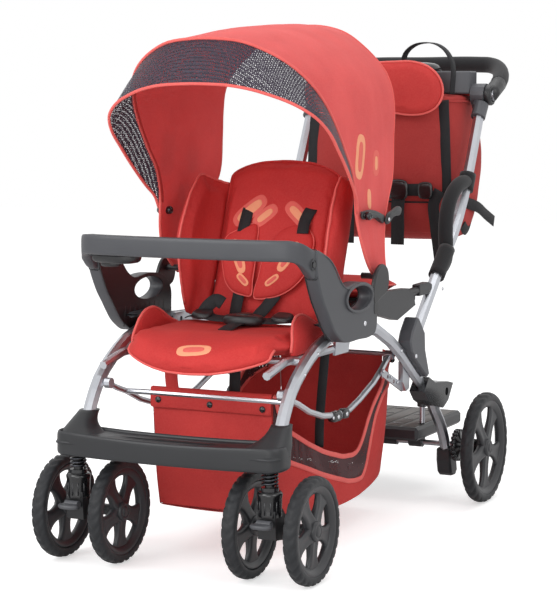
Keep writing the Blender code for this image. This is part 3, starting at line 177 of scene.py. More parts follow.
# closed-cell foam: dull, with cells about 2 mm wide, coarser than the real ones so that they show
def cellFoam(name, look):
    finish, tree, skin = newFinish(name, {"Roughness": look["roughness"], "IOR": 1.5,
                                          "Specular IOR Level": 0.25, "Sheen Weight": look["sheen"],
                                          "Sheen Roughness": 0.5})
    where = addNode(tree, "ShaderNodeTexCoord").outputs["Object"]
    cells = addNode(tree, "ShaderNodeTexVoronoi", {"Scale": look["cells"]}, {"Vector": where})
    cloud = addNode(tree, "ShaderNodeTexNoise", {"Scale": 18.0, "Detail": 4.0}, {"Vector": where})
    mixed = addNode(tree, "ShaderNodeMix", {"data_type": "RGBA", 6: linearTone(look["dark"]),
                                            7: linearTone(look["main"])}, {0: cloud.outputs["Fac"]})
    tree.links.new(mixed.outputs[2], skin.inputs["Base Color"])
    bump = addNode(tree, "ShaderNodeBump", {"Strength": 0.4, "Distance": 0.0005},
                   {"Height": cells.outputs["Distance"]})
    tree.links.new(bump.outputs["Normal"], skin.inputs["Normal"])
    return finish


# knitted polyester net: dark threads round open holes, so what is behind shows through; real holes are about
# 2 mm wide and are drawn 3.6 to 4 mm wide, so that they show
def knittedNet(name, look):
    finish, tree, skin = newFinish(name, {"Roughness": 0.6, "IOR": 1.5, "Sheen Weight": 0.1,
                                          "Specular IOR Level": 0.3})
    where = addNode(tree, "ShaderNodeTexCoord").outputs["Object"]
    cells = addNode(tree, "ShaderNodeTexVoronoi", {"feature": "DISTANCE_TO_EDGE", "Scale": 1 / look["hole"],
                                                   "Randomness": 0.30}, {"Vector": where})
    thread = addNode(tree, "ShaderNodeMath", {"operation": "LESS_THAN", 1: look["thread"]},
                     {0: cells.outputs["Distance"]})
    shine = addNode(tree, "ShaderNodeTexNoise", {"Scale": 240.0, "Detail": 1.0}, {"Vector": where})
    mixed = addNode(tree, "ShaderNodeMix", {"data_type": "RGBA", 6: linearTone(look["dark"]),
                                            7: linearTone(look["main"])}, {0: shine.outputs["Fac"]})
    tree.links.new(mixed.outputs[2], skin.inputs["Base Color"])
    tree.links.new(thread.outputs["Value"], skin.inputs["Alpha"])
    return finish


# the bag's cloth is the red oxford drawn darker than redCloth: its darker colours are painted shade over the
# bag's body
bagShadedCloth = wovenCloth("shadedRedPolyesterOxford", {"main": "#AE3633", "dark": "#9C2D2C", "light": "#C86058",
                                                 "roughness": 0.78, "sheen": 0.08, "thread": 0.0026,
                                                 "weft": "Z", "creases": 12.0, "creaseDepth": 0.005})
redCloth = wovenCloth("redPolyesterOxford", {"main": "#C43634", "dark": "#B22C2C", "light": "#DA6A60",
                                             "roughness": 0.78, "sheen": 0.12, "thread": 0.0026, "weft": "Z",
                                             "creases": 16.0, "creaseDepth": 0.004})
seatCloth = wovenCloth("redSeatTwill", {"main": "#C8312F", "dark": "#B32829", "light": "#DC6860",
                                        "roughness": 0.75, "sheen": 0.14, "thread": 0.0026,
                                        "weft": "DIAGONAL", "creases": 14.0, "creaseDepth": 0.005})
coralCloth = wovenCloth("coralCanopyPolyester", {"main": "#DB5252", "dark": "#CC4647", "light": "#EC8278",
                                                 "roughness": 0.72, "sheen": 0.16, "thread": 0.0026,
                                                 "weft": "Z", "creases": 9.0, "creaseDepth": 0.004})
# thin unlined polyester lets some daylight through
canopySkin = coralCloth.node_tree.nodes["Principled BSDF"]
for key, value in (("Subsurface Weight", 0.35), ("Subsurface Radius", (1.0, 0.35, 0.3)),
                   ("Subsurface Scale", 0.004)):
    canopySkin.inputs[key].default_value = value
pipingCloth = wovenCloth("coralPipingTape", {"main": "#E5605C", "dark": "#D85250", "light": "#F2A090",
                                             "roughness": 0.6, "sheen": 0.2, "thread": 0.0020, "weft": "Z",
                                             "creases": 30.0, "creaseDepth": 0.0005})
peachTwill = wovenCloth("peachApplique", {"main": "#F2A27C", "dark": "#EA946F", "light": "#FBC6A6",
                                          "roughness": 0.75, "sheen": 0.15, "thread": 0.0020, "weft": "Z",
                                          "creases": 30.0, "creaseDepth": 0.0006})
roseTwill = wovenCloth("roseApplique", {"main": "#E2685F", "dark": "#D95C55", "light": "#F08A7C",
                                        "roughness": 0.75, "sheen": 0.15, "thread": 0.0020, "weft": "Z",
                                        "creases": 30.0, "creaseDepth": 0.0006})
webbingBlack = wovenCloth("blackPolyesterWebbing", {"main": "#232325", "dark": "#19191B", "light": "#3C3C40",
                                                    "roughness": 0.7, "sheen": 0.1, "thread": 0.0022,
                                                    "weft": "Z", "creases": 40.0, "creaseDepth": 0.0006})
greyPlastic = mouldedPlastic("mouldedGreyNylon", {"main": "#47484C", "dark": "#3F4044", "edge": "#68696E",
                                                  "roughness": 0.42, "specular": 0.45, "grain": 0.25})
footPlastic = mouldedPlastic("mouldedFootrestNylon", {"main": "#242528", "dark": "#1E1F21", "edge": "#404146",
                                                    "roughness": 0.40, "specular": 0.45, "grain": 0.25})
blackPlastic = mouldedPlastic("mouldedBlackNylon", {"main": "#1F1F21", "dark": "#19191B", "edge": "#3C3C40",
                                                    "roughness": 0.38, "specular": 0.5, "grain": 0.2})
glossBlack = mouldedPlastic("polishedBlackPlastic", {"main": "#161618", "dark": "#121214", "edge": "#2E2E33",
                                                     "roughness": 0.2, "specular": 0.6, "grain": 0.05})
deckPlastic = mouldedPlastic("ribbedDeckPlastic", {"main": "#5C5855", "dark": "#504C4A", "edge": "#7D7873",
                                                   "roughness": 0.55, "specular": 0.4, "grain": 0.35})
wheelPlastic = mouldedPlastic("mouldedWheelPlastic", {"main": "#303134", "dark": "#29292C", "edge": "#4C4D52",
                                                      "roughness": 0.36, "specular": 0.5, "grain": 0.15})
tubeMetal = satinAluminium("satinAnodisedAluminium",
                           {"main": "#C9CBD0", "dark": "#B4B6BC", "roughness": 0.33})
rivetMetal = satinAluminium("turnedRivetSteel", {"main": "#DDDEE2", "dark": "#C4C5CA", "roughness": 0.25})
springSteel = satinAluminium("blackenedSpringSteel",
                             {"main": "#55565B", "dark": "#3C3D41", "roughness": 0.28})
foamGrip = cellFoam("nitrileGripFoam", {"main": "#262628", "dark": "#1E1E20", "roughness": 0.8, "sheen": 0.15,
                                        "cells": 420.0})
tyreFoam = cellFoam("evaTyreFoam", {"main": "#2C2D30", "dark": "#242527", "roughness": 0.5, "sheen": 0.06,
                                    "cells": 520.0})
blackNet = knittedNet("blackKnittedNet",
                      {"main": "#4A4252", "dark": "#241E28", "hole": 0.0036, "thread": 0.165})
maroonNet = knittedNet("maroonKnittedNet",
                       {"main": "#4E1C21", "dark": "#2C1215", "hole": 0.0040, "thread": 0.20})
print("finishes made")


# mesh tools

def showMesh(name, points, faces, finish, smooth=True):
    mesh = bpy.data.meshes.new(name)
    mesh.from_pydata([tuple(p) for p in points], [], faces)
    bm = bmesh.new()
    bm.from_mesh(mesh)
    bmesh.ops.recalc_face_normals(bm, faces=bm.faces)
    bm.to_mesh(mesh)
    bm.free()
    if smooth:
        mesh.shade_smooth()
    piece = bpy.data.objects.new(name, mesh)
    bpy.context.scene.collection.objects.link(piece)
    mesh.materials.append(finish)
    return piece


# faces between rings of points, each ring closed on itself
def ringFaces(rings, count, capped=True, joined=False):
    faces = []
    for i in range(rings if joined else rings - 1):
        for j in range(count):
            m, n = (i + 1) % rings, (j + 1) % count
            faces.append((i * count + j, i * count + n, m * count + n, m * count + j))
    if capped:
        faces += [tuple(range(count - 1, -1, -1)), tuple((rings - 1) * count + j for j in range(count))]
    return faces


def gridFaces(rows, columns):
    return [(i * columns + j, i * columns + j + 1, (i + 1) * columns + j + 1, (i + 1) * columns + j)
            for i in range(rows - 1) for j in range(columns - 1)]


def mirrored(half):      # the same points across the middle, in the opposite order
    return [(-p[0], *p[1:]) for p in reversed(half)]


def squared(value, power):       # a sine or cosine drawn towards a squarer corner
    return math.copysign(abs(value) ** power, value)


def joinMeshes(name, parts, finish):
    points, faces = [], []
    for partPoints, partFaces in parts:
        start = len(points)
        points += list(partPoints)
        faces += [tuple(start + k for k in face) for face in partFaces]
    return showMesh(name, points, faces, finish)


def smoothLine(points, count, closed=False):
    p = np.array([tuple(q) for q in points], float)
    if closed:
        p = np.vstack([p[-2:], p, p[:3]])
    d = np.r_[0, np.cumsum(np.linalg.norm(np.diff(p, axis=0), axis=1))]
    slope = np.gradient(p, d, axis=0)
    first, last = (d[2], d[-3]) if closed else (0.0, d[-1])
    made = []
    for value in np.linspace(first, last, count, endpoint=not closed):
        k = min(len(d) - 2, max(0, int(np.searchsorted(d, value, side="right")) - 1))
        h = d[k + 1] - d[k]
        t = (value - d[k]) / h
        q = ((2 * t ** 3 - 3 * t ** 2 + 1) * p[k] + (t ** 3 - 2 * t ** 2 + t) * h * slope[k]
             + (3 * t ** 2 - 2 * t ** 3) * p[k + 1] + (t ** 3 - t ** 2) * h * slope[k + 1])
        made.append(Vector(q))
    return made


def smoothRing(outline, count):
    return smoothLine([(u, v, 0) for u, v in outline], count, closed=True)


def roundSection(radius, count=10):
    return [(radius * math.cos(2 * math.pi * k / count), radius * math.sin(2 * math.pi * k / count))
            for k in range(count)]


def flatSection(width, thickness):
    w, t = width / 2, thickness / 2
    return [(w, 0), (w - t * 0.5, t), (0, t), (-w + t * 0.5, t), (-w, 0), (-w + t * 0.5, -t), (0, -t),
            (w - t * 0.5, -t)]


# points and faces of a section carried along a path; ups is where the section's thickness faces
def sweepData(path, section, ups=None, closed=False, scales=None):
    path = [Vector(p) for p in path]
    count = len(path)
    points = []
    up = None
    for k, p in enumerate(path):
        if closed:
            along = (path[(k + 1) % count] - path[k - 1]).normalized()
        else:
            along = (path[min(k + 1, count - 1)] - path[max(k - 1, 0)]).normalized()
        if ups is not None:
            up = Vector(ups[k] if isinstance(ups, list) else ups)
        elif up is None:
            up = Vector((0, 0, 1)) if abs(along.z) < 0.8 else Vector((0, 1, 0))
        up = (up - along * up.dot(along)).normalized()
        across = along.cross(up)
        size = scales[k] if scales else 1.0
        for a, b in section:
            points.append(p + across * a * size + up * b * size)
    return points, ringFaces(count, len(section), not closed, closed)


def sweepPiece(name, path, section, finish, ups=None, closed=False, scales=None):
    return showMesh(name, *sweepData(path, section, ups, closed, scales), finish)


# a profile of (radius, place) turned about an axis through centre
def turnedData(profile, centre, axis=(1, 0, 0), steps=24):
    axis = Vector(axis).normalized()
    first = axis.orthogonal().normalized()
    second = axis.cross(first)
    points, faces = [], []
    n = len(profile)
    for k in range(steps):
        angle = 2 * math.pi * k / steps
        spoke = first * math.cos(angle) + second * math.sin(angle)
        for radius, place in profile:
            points.append(Vector(centre) + axis * place + spoke * radius)
    for k in range(steps):
        m = (k + 1) % steps
        for j in range(n - 1):
            faces.append((k * n + j, k * n + j + 1, m * n + j + 1, m * n + j))
    return points, faces


# a padded leaf on any surface: the outline is in (u, v), and place(u, v, h) gives the point at height h
def leafData(outline, place, height, under=0.3, count=56):
    edge = smoothRing(outline, count)
    middle = sum(edge, Vector()) / len(edge)
    points = []
    rings = [(0.12, -under), (0.6, -under), (0.92, -under * 0.7), (0.985, -under * 0.3), (1.0, 0.10),
             (0.985, 0.45), (0.94, 0.72), (0.85, 0.88), (0.68, 0.97), (0.45, 1.0), (0.2, 1.0)]
    for share, level in rings:
        for p in edge:
            q = middle + (p - middle) * share
            points.append(place(q.x, q.y, level * height))
    return points, ringFaces(len(rings), count)


def leafEdge(outline, place, height, count=72):
    return [place(p.x, p.y, height) for p in smoothRing(outline, count)]


# cloth of even thickness through a grid of points
def sheetPiece(name, rows, finish, thickness, levels=1):
    points = [p for row in rows for p in row]
    piece = showMesh(name, points, gridFaces(len(rows), len(rows[0])), finish)
    wall = piece.modifiers.new("thickness", "SOLIDIFY")
    wall.thickness = thickness
    wall.offset = 0
    return soften(piece, levels)


# replaces a piece's mesh by what its modifiers make of it
def settle(piece):
    graph = bpy.context.evaluated_depsgraph_get()
    made = bpy.data.meshes.new_from_object(piece.evaluated_get(graph))
    piece.modifiers.clear()
    piece.data = made
    piece.data.shade_smooth()
    return piece


# rounds a piece by subdividing it
def soften(piece, levels=1):
    if levels:
        soft = piece.modifiers.new("smooth", "SUBSURF")
        soft.levels = soft.render_levels = levels
    return settle(piece)


# a thick pad from a grid of points: full in the middle, thin at its edges
def padPiece(name, rows, thickness, finish, edge=0.35):
    n = len(rows[0])
    last = len(rows) - 1
    piece = showMesh(name, [p for row in rows for p in row], gridFaces(len(rows), n), finish)
    group = piece.vertex_groups.new(name="fill")
    for i in range(last + 1):
        for j in range(n):
            reach = min(i, last - i, j, n - 1 - j)
            group.add([i * n + j], edge if reach == 0 else (0.85 if reach == 1 else 1.0), "REPLACE")
    wall = piece.modifiers.new("fill", "SOLIDIFY")
    wall.thickness = thickness
    wall.offset = 0
    wall.vertex_group = "fill"
    wall.thickness_vertex_group = 0.0
    return soften(piece)


# swells a closed pad like stuffed cloth, with no point moved by more than cap
def inflate(piece, cap, voxel=0.005, pressure=4.0):
    grid = piece.modifiers.new("grid", "REMESH")
    grid.mode = "VOXEL"
    grid.voxel_size = voxel
    settle(piece)
    start = np.zeros(len(piece.data.vertices) * 3)
    piece.data.vertices.foreach_get("co", start)
    cloth = piece.modifiers.new("stuffing", "CLOTH")
    cloth.settings.quality = 4
    cloth.settings.use_pressure = True
    cloth.settings.uniform_pressure_force = pressure
    cloth.settings.effector_weights.gravity = 0.0
    cloth.settings.tension_stiffness = 20
    cloth.settings.compression_stiffness = 20
    cloth.point_cache.frame_start = 1
    cloth.point_cache.frame_end = 20
    for step in range(1, 21):
        bpy.context.scene.frame_set(step)
    graph = bpy.context.evaluated_depsgraph_get()
    blown = piece.evaluated_get(graph).data
    end = np.zeros(len(start))
    blown.vertices.foreach_get("co", end)
    piece.modifiers.clear()
    facing = np.zeros(len(start))
    piece.data.vertices.foreach_get("normal", facing)
    facing = facing.reshape(-1, 3)
    swell = ((end - start).reshape(-1, 3) * facing).sum(axis=1, keepdims=True)
    move = facing * np.clip(swell, -0.0006, cap)
    piece.data.vertices.foreach_set("co", (start.reshape(-1, 3) + move).ravel())
    piece.data.update()
    bpy.context.scene.frame_set(1)
    return soften(piece)


def surfaceOf(piece):
    return BVHTree.FromObject(piece, bpy.context.evaluated_depsgraph_get())


# lays a line of points on a pad's skin, for the piping sewn to it
def hugLine(points, piece, lift, closed=False):
    skin = surfaceOf(piece)
    laid = []
    for p in points:
        spot, facing = skin.find_nearest(p)[:2]
        laid.append(spot + facing * lift)
    return smoothLine(laid, len(points), closed)


# a moulded plate with rolled edges and holes: outlines are (y, z), the plate lies between x0 and x1
def plateData(outline, holes, x0, x1, roll, count=120):
    curve = bpy.data.curves.new("plateOutline", "CURVE")
    curve.dimensions = "2D"
    curve.fill_mode = "BOTH"
    curve.bevel_resolution = 3
    curve.bevel_depth = roll
    curve.offset = -roll
    curve.extrude = abs(x1 - x0) / 2 - roll
    for number, ring in enumerate([outline] + list(holes)):
        line = curve.splines.new("POLY")
        points = smoothRing(ring, count if number == 0 else 56)
        line.points.add(len(points) - 1)
        for point, p in zip(line.points, points):
            point.co = (p.x, p.y, 0, 1)
        line.use_cyclic_u = True
    holder = bpy.data.objects.new("plateOutline", curve)
    bpy.context.scene.collection.objects.link(holder)
    made = bpy.data.meshes.new_from_object(holder.evaluated_get(bpy.context.evaluated_depsgraph_get()))
    data = ([at((x0 + x1) / 2 + v.co.z, v.co.x, v.co.y) for v in made.vertices],
            [tuple(f.vertices) for f in made.polygons])
    bpy.data.objects.remove(holder)
    bpy.data.curves.remove(curve)
    bpy.data.meshes.remove(made)
    return data


def ovalRing(centre, radii, count=24):
    return [(centre[0] + radii[0] * math.cos(2 * math.pi * k / count),
             centre[1] + radii[1] * math.sin(2 * math.pi * k / count)) for k in range(count)]


def carry(piece, body, stands=()):
    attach(piece, body)
    if stands:
        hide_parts(*stands)
    return piece


def dress(finish, *names):
    for name in names:
        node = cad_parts[name]
        node.data.materials.clear()
        node.data.materials.append(finish)


def rivetData(centre, axis, radius):
    profile = [(0.0001, 0.38 * radius), (0.45 * radius, 0.36 * radius), (0.8 * radius, 0.22 * radius),
               (radius, 0.0), (radius, -0.25 * radius), (0.0001, -0.25 * radius)]
    return turnedData(profile, centre, axis, 14)


def strapData(points, width, normal, thickness=0.0016, count=24):
    path = smoothLine(points, count)
    return sweepData(path, flatSection(width, thickness), normal)


# camera, light and floor

cameraSetup = {"place": (1.7090, -3.0401, 0.8826), "turn": 0.4435, "tilt": 0.1062, "lens": 115.46,
               "shift": -0.0393}
camera = bpy.data.objects.new("camera", bpy.data.cameras.new("camera"))
bpy.context.scene.collection.objects.link(camera)
camera.location = at(*cameraSetup["place"])
camera.rotation_euler = (math.pi / 2 - cameraSetup["tilt"], 0, cameraSetup["turn"])
camera.data.sensor_width = 36.0
camera.data.lens = cameraSetup["lens"]
camera.data.shift_x = cameraSetup["shift"]
bpy.context.scene.camera = camera
bpy.context.scene.view_settings.view_transform = "Standard"

# the object is lit by the air and four lamps; the camera and clear reflections see the backdrop as white
studio = {"air": 0.68, "floorGlow": 0.52,
          "lamps": [("keyLamp", (-1.5, -3.2, 2.3), 2.2, 62.0), ("fillLamp", (3.0, -1.6, 1.9), 1.8, 20.0),
                    ("topLamp", (0.2, 0.8, 3.2), 2.4, 24.0), ("lowLamp", (0.7, -3.2, 0.6), 1.8, 20.0)]}
world = bpy.data.worlds.new("paleStudio")
bpy.context.scene.world = world
world.use_nodes = True
tree = world.node_tree
tree.nodes.clear()
rays = addNode(tree, "ShaderNodeLightPath")
seen = addNode(tree, "ShaderNodeMath", {"operation": "MAXIMUM"},
               {0: rays.outputs["Is Camera Ray"], 1: rays.outputs["Is Transmission Ray"]})
shown = addNode(tree, "ShaderNodeMath", {"operation": "MAXIMUM"},
                {0: seen.outputs["Value"], 1: rays.outputs["Is Glossy Ray"]})
level = addNode(tree, "ShaderNodeMapRange", {"To Min": studio["air"], "To Max": 1.0},
                {"Value": shown.outputs["Value"]})
air = addNode(tree, "ShaderNodeBackground", {"Color": (1, 1, 1, 1)}, {"Strength": level.outputs["Result"]})
addNode(tree, "ShaderNodeOutputWorld", None, {"Surface": air.outputs["Background"]})
for lampName, place, size, power in studio["lamps"]:
    lamp = bpy.data.lights.new(lampName, "AREA")
    lamp.size = size
    lamp.energy = power
    holder = bpy.data.objects.new(lampName, lamp)
    holder.location = place
    holder.rotation_euler = (Vector((0, 0, 0.5)) - Vector(place)).to_track_quat("-Z", "Y").to_euler()
    bpy.context.scene.collection.objects.link(holder)

floorMat, tree, skin = newFinish("paleStudioFloor", {"Base Color": (0.86, 0.86, 0.86, 1), "Roughness": 0.9,
                                                     "Specular IOR Level": 0.0,
                                                     "Emission Color": (1, 1, 1, 1)})
rays = addNode(tree, "ShaderNodeLightPath")
glow = addNode(tree, "ShaderNodeMapRange", {"To Min": 0.0, "To Max": studio["floorGlow"]},
               {"Value": rays.outputs["Is Camera Ray"]})
tree.links.new(glow.outputs["Result"], skin.inputs["Emission Strength"])
floor = showMesh("studioFloor", [(-9, -9, -0.0005), (9, -9, -0.0005), (9, 9, -0.0005), (-9, 9, -0.0005)],
                 [(0, 1, 2, 3)], floorMat, smooth=False)
print("camera, light and floor set")


# frame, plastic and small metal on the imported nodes

for tag, side in sides:
    dress(tubeMetal, "front_tube_" + tag, "rear_tube_" + tag, "rear_leg_" + tag, "handle_tube_" + tag)
    dress(greyPlastic, "handle_bracket_" + tag, "handle_joint_" + tag, "swivel_lock_" + tag)
    dress(blackPlastic, "leg_boot_" + tag, "caster_fork_" + tag)
    dress(glossBlack, "suspension_strut_" + tag, "lock_housing_" + tag, "tray_button_" + tag)
    dress(tubeMetal, "tilt_button_" + tag)
dress(tubeMetal, "rear_axle", "seat_frame", "brace_front", "brace_rear")
dress(foamGrip, "handlebar")
dress(greyPlastic, "console")
dress(blackPlastic, "platform", "brake_pedal", "jump_seat_frame")
dress(glossBlack, "console_lid")


# wheels

wheelShape = {"spokes": 5, "grooves": 30, "grooveDepth": 0.0026, "half": 0.0135, "tyre": 0.018, "hub": 0.0195,
              "front": 0.100, "rear": 0.120}
frontAxle = {"x": 0.201, "apart": 0.0613, "y": 0.046}
rearAxle = {"x": 0.2934, "y": 0.8634}
boxFaces = [(0, 1, 2, 3), (7, 6, 5, 4), (0, 4, 5, 1), (1, 5, 6, 2), (2, 6, 7, 3), (3, 7, 4, 0)]
drumShape = {"x": 0.2323, "teeth": 20, "root": 0.030, "tip": 0.0352, "half": 0.0052}


# tyre with slanted grooves across its tread
def tyreData(radius, half, depth):
    steps = 150
    profile = []
    for angle in range(0, 181, 15):
        a = math.radians(angle)
        profile.append((radius - depth * 0.55 * (1 - math.sin(a) ** 0.7), half * math.cos(a)))
    inner = [(radius - depth * 0.85, -half * 0.98), (radius - depth, -half * 0.86),
             (radius - depth, half * 0.86), (radius - depth * 0.85, half * 0.98)]
    profile = profile + inner
    points = []
    for k in range(steps):
        angle = 2 * math.pi * k / steps
        for r, x in profile:
            slant = (angle * wheelShape["grooves"] / (2 * math.pi) + abs(x) / half * 0.9) % 1.0
            outside = r > radius - depth * 0.5
            cutIn = wheelShape["grooveDepth"] if outside and slant < 0.28 and abs(x) > half * 0.18 else 0.0
            points.append(Vector((x, (r - cutIn) * math.cos(angle), (r - cutIn) * math.sin(angle))))
    return points, ringFaces(steps, len(profile), False, True)


# rim, five flared spokes and hub; the face with the cap looks along +X
def rimData(rim, half, hub):
    parts = [turnedData([(rim, half * 0.84), (rim, -half * 0.84), (rim - 0.0035, -half * 0.86),
                         (rim - 0.0085, -half * 0.66), (rim - 0.0140, -half * 0.44), (rim - 0.0155, 0),
                         (rim - 0.0140, half * 0.44), (rim - 0.0085, half * 0.66),
                         (rim - 0.0035, half * 0.86), (rim, half * 0.84)], (0, 0, 0), (1, 0, 0), 72),
             turnedData([(0.0001, -half), (hub - 0.002, -half), (hub, -half + 0.002), (hub + 0.001, 0),
                         (hub, half - 0.0025), (hub - 0.0025, half), (hub * 0.62, half + 0.0006),
                         (hub * 0.58, half - 0.0012), (hub * 0.50, half - 0.0012),
                         (hub * 0.46, half + 0.0012), (hub * 0.2, half + 0.0020), (0.0001, half + 0.0021)],
                         (0, 0, 0), (1, 0, 0), 36)]
    for k in range(wheelShape["spokes"]):
        angle = 2 * math.pi * (k + 0.5) / wheelShape["spokes"] + math.pi / 2
        out = Vector((0, math.cos(angle), math.sin(angle)))
        across = Vector((0, -math.sin(angle), math.cos(angle)))
        points = []
        section = [(-1, 0.35), (-0.72, 0.85), (-0.3, 0.62), (0.3, 0.62), (0.72, 0.85), (1, 0.35), (1, -0.35),
                   (0.72, -0.85), (0, -0.7), (-0.72, -0.85), (-1, -0.35)]
        stations = [(hub * 0.7, 0.95, 0.95), (hub + 0.002, 0.86, 0.82),
                    (hub + (rim - hub) * 0.25, 0.76, 0.68), (hub + (rim - hub) * 0.45, 0.80, 0.60),
                    (hub + (rim - hub) * 0.62, 1.02, 0.56), (hub + (rim - hub) * 0.76, 1.45, 0.52),
                    (rim - 0.006, 2.2, 0.50)]
        for r, wide, deep in stations:
            for a, b in section:
                points.append(out * r + across * (a * wide * hub * 0.95) + Vector((b * deep * half, 0, 0)))
        parts.append((points, ringFaces(len(stations), len(section), False)))
    return parts


def wheelPieces(label, radius, centre, outward, body, stands):
    half, depth = wheelShape["half"], wheelShape["tyre"]
    place = Matrix.Translation(at(*centre)) @ Matrix.Diagonal((outward, 1, 1, 1))
    rimParts = [([place @ p for p in points], faces)
                for points, faces in rimData(radius - depth, half, wheelShape["hub"])]
    rim = soften(joinMeshes(label + "Rim", rimParts, wheelPlastic))
    tyrePoints, tyreFaces = tyreData(radius, half, depth)
    tyre = showMesh(label + "Tyre", [place @ p for p in tyrePoints], tyreFaces, tyreFoam)
    carry(rim, body, stands[:1])
    carry(tyre, body, stands[1:])


for tag, side in sides:
    for where, outward in (("outer", side), ("inner", -side)):
        name = "front_wheel_%s_%s" % (tag, where)
        centre = (side * frontAxle["x"] + outward * frontAxle["apart"], frontAxle["y"], wheelShape["front"])
        wheelPieces("frontWheel%s%s" % (tag.upper(), where.title()), wheelShape["front"], centre, outward,
                    name, [name])
    centre = (side * rearAxle["x"], rearAxle["y"], wheelShape["rear"])
    wheelPieces("rearWheel" + tag.upper(), wheelShape["rear"], centre, side, "rear_wheel_" + tag,
                ["rear_rim_" + tag, "rear_tyre_" + tag])
    # toothed brake drum on the inner face of the rear wheel
    drum = []
    base = at(side * drumShape["x"], *centre[1:])
    root, tip = drumShape["root"], drumShape["tip"]
    for k in range(drumShape["teeth"]):
        angle = 2 * math.pi * k / drumShape["teeth"]
        out = Vector((0, math.cos(angle), math.sin(angle)))
        turn = Vector((0, -math.sin(angle), math.cos(angle)))
        tooth = [base + out * r + turn * t + Vector((side * x, 0, 0))
                 for x in (-drumShape["half"], drumShape["half"])
                 for r, t in ((root, -0.0036), (tip, -0.0026), (tip, 0.0026), (root, 0.0036))]
        drum.append((tooth, boxFaces))
    drum.append(turnedData([(0.0001, -0.005), (root, -0.005), (0.032, -0.003), (0.032, 0.003), (root, 0.005),
                            (0.016, 0.008), (0.016, 0.050), (0.0001, 0.050)], base, (side, 0, 0), 30))
    carry(joinMeshes("brakeDrum" + tag.upper(), drum, glossBlack), "rear_wheel_" + tag)
print("wheels built")


# springs and caster trim

springShape = {"coil": 0.0138, "wire": 0.0022, "turns": 4, "low": 0.1860, "high": 0.2130}
for tag, side in sides:
    x = side * frontAxle["x"]
    path = []
    for k in range(springShape["turns"] * 26 + 1):
        angle = 2 * math.pi * k / 26
        z = springShape["low"] + (springShape["high"] - springShape["low"]) * k / (springShape["turns"] * 26)
        path.append(at(x + springShape["coil"] * math.cos(angle), springShape["coil"] * math.sin(angle), z))
    wire = roundSection(springShape["wire"], 10)
    spring = sweepPiece("suspensionCoil" + tag.upper(), path, wire, springSteel)
    carry(spring, "front_frame", ["suspension_spring_" + tag])
    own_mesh(spring)
    # stepped collar and dome under the spring
    collar = turnedData([(0.0218, -0.044), (0.0222, -0.040), (0.0214, -0.036), (0.0224, -0.010),
                         (0.0232, -0.006), (0.0232, -0.003), (0.0216, 0.0), (0.0196, 0.0012),
                         (0.0168, 0.0016)], at(x, 0, 0.1752), (0, 0, 1), 36)
    carry(joinMeshes("casterCollar" + tag.upper(), [collar], glossBlack), "caster_" + tag)
    # upright ribs on the fork's front
    ribs = []
    for angle in (-150, -120, -90, -60, -30):
        a = math.radians(angle)
        foot = at(x + 0.0212 * math.cos(a), 0.0212 * math.sin(a), 0.136)
        top = at(x + 0.0216 * math.cos(a), 0.0216 * math.sin(a), 0.160)
        ribs.append(sweepData([foot, foot.lerp(top, 0.5), top], roundSection(0.0014, 8)))
    carry(joinMeshes("casterRibs" + tag.upper(), ribs, glossBlack), "caster_" + tag)
    # rounded lip of the swivel lock
    lip = [at(x + 0.0175 * math.cos(math.radians(a)), -0.0352 + 0.0105 * math.sin(math.radians(a)), 0.1186)
           for a in range(180, 361, 15)]
    carry(sweepPiece("swivelLockLip" + tag.upper(), lip, roundSection(0.0046, 12), greyPlastic),
          "swivel_lock_" + tag)
print("springs and casters trimmed")


# handlebar, joints and grips

barShape = {"joint": (1.074, 0.882), "cross": (1.236, 0.953), "hubX": 0.22215, "foam": 0.0185}
armY, armZ = barShape["cross"][0] - barShape["joint"][0], barShape["cross"][1] - barShape["joint"][1]
rightSide = [(x, barShape["joint"][0] + share * armY, barShape["joint"][1] + share * armZ) for share, x in
             ((0.33, 0.2215), (0.50, 0.2180), (0.66, 0.2100), (0.80, 0.1985), (0.92, 0.1815), (0.98, 0.1640),
              (1.0, 0.1350))]
loop = rightSide + [(0, *barShape["cross"])] + mirrored(rightSide)
foamPath = smoothLine([at(*p) for p in loop], 90)
foamScale = [0.95 if k in (0, 89) else 1.0 for k in range(90)]
carry(sweepPiece("handlebarFoam", foamPath, roundSection(barShape["foam"], 20), foamGrip, scales=foamScale),
      "handlebar", ["handlebar"])
hubs = []
for tag, side in sides:
    centre = at(side * 0.2153, *barShape["joint"])
    hubs.append(turnedData([(0.0226, 0.0002), (0.0232, 0.002), (0.0232, 0.0105), (0.0216, 0.0135),
                            (0.0160, 0.0142), (0.0135, 0.0140), (0.0135, 0.0110)], centre, (side, 0, 0), 36))
    stub = [at(side * barShape["hubX"], barShape["joint"][0] + s * armY, barShape["joint"][1] + s * armZ)
            for s in (0.0, 0.12, 0.24, 0.36)]
    hubs.append(sweepData(stub, roundSection(0.0181, 18)))
    ribs = []
    for k in range(12):
        a = 2 * math.pi * k / 12
        p, q = (at(side * 0.2328, barShape["joint"][0] + r * math.cos(a),
                   barShape["joint"][1] + r * math.sin(a))
                for r in (0.0080, 0.0115))
        ribs.append(sweepData([p, p.lerp(q, 0.5), q], roundSection(0.0009, 6)))
    ribs.append(turnedData([(0.0001, 0.0001), (0.0060, 0.0001), (0.0070, -0.0006)],
                           at(side * 0.2335, *barShape["joint"]), (side, 0, 0), 24))
    carry(joinMeshes("tiltButtonRibs" + tag.upper(), ribs, greyPlastic), "tilt_button_" + tag)
carry(joinMeshes("handlebarHubs", hubs, blackPlastic), "handlebar")

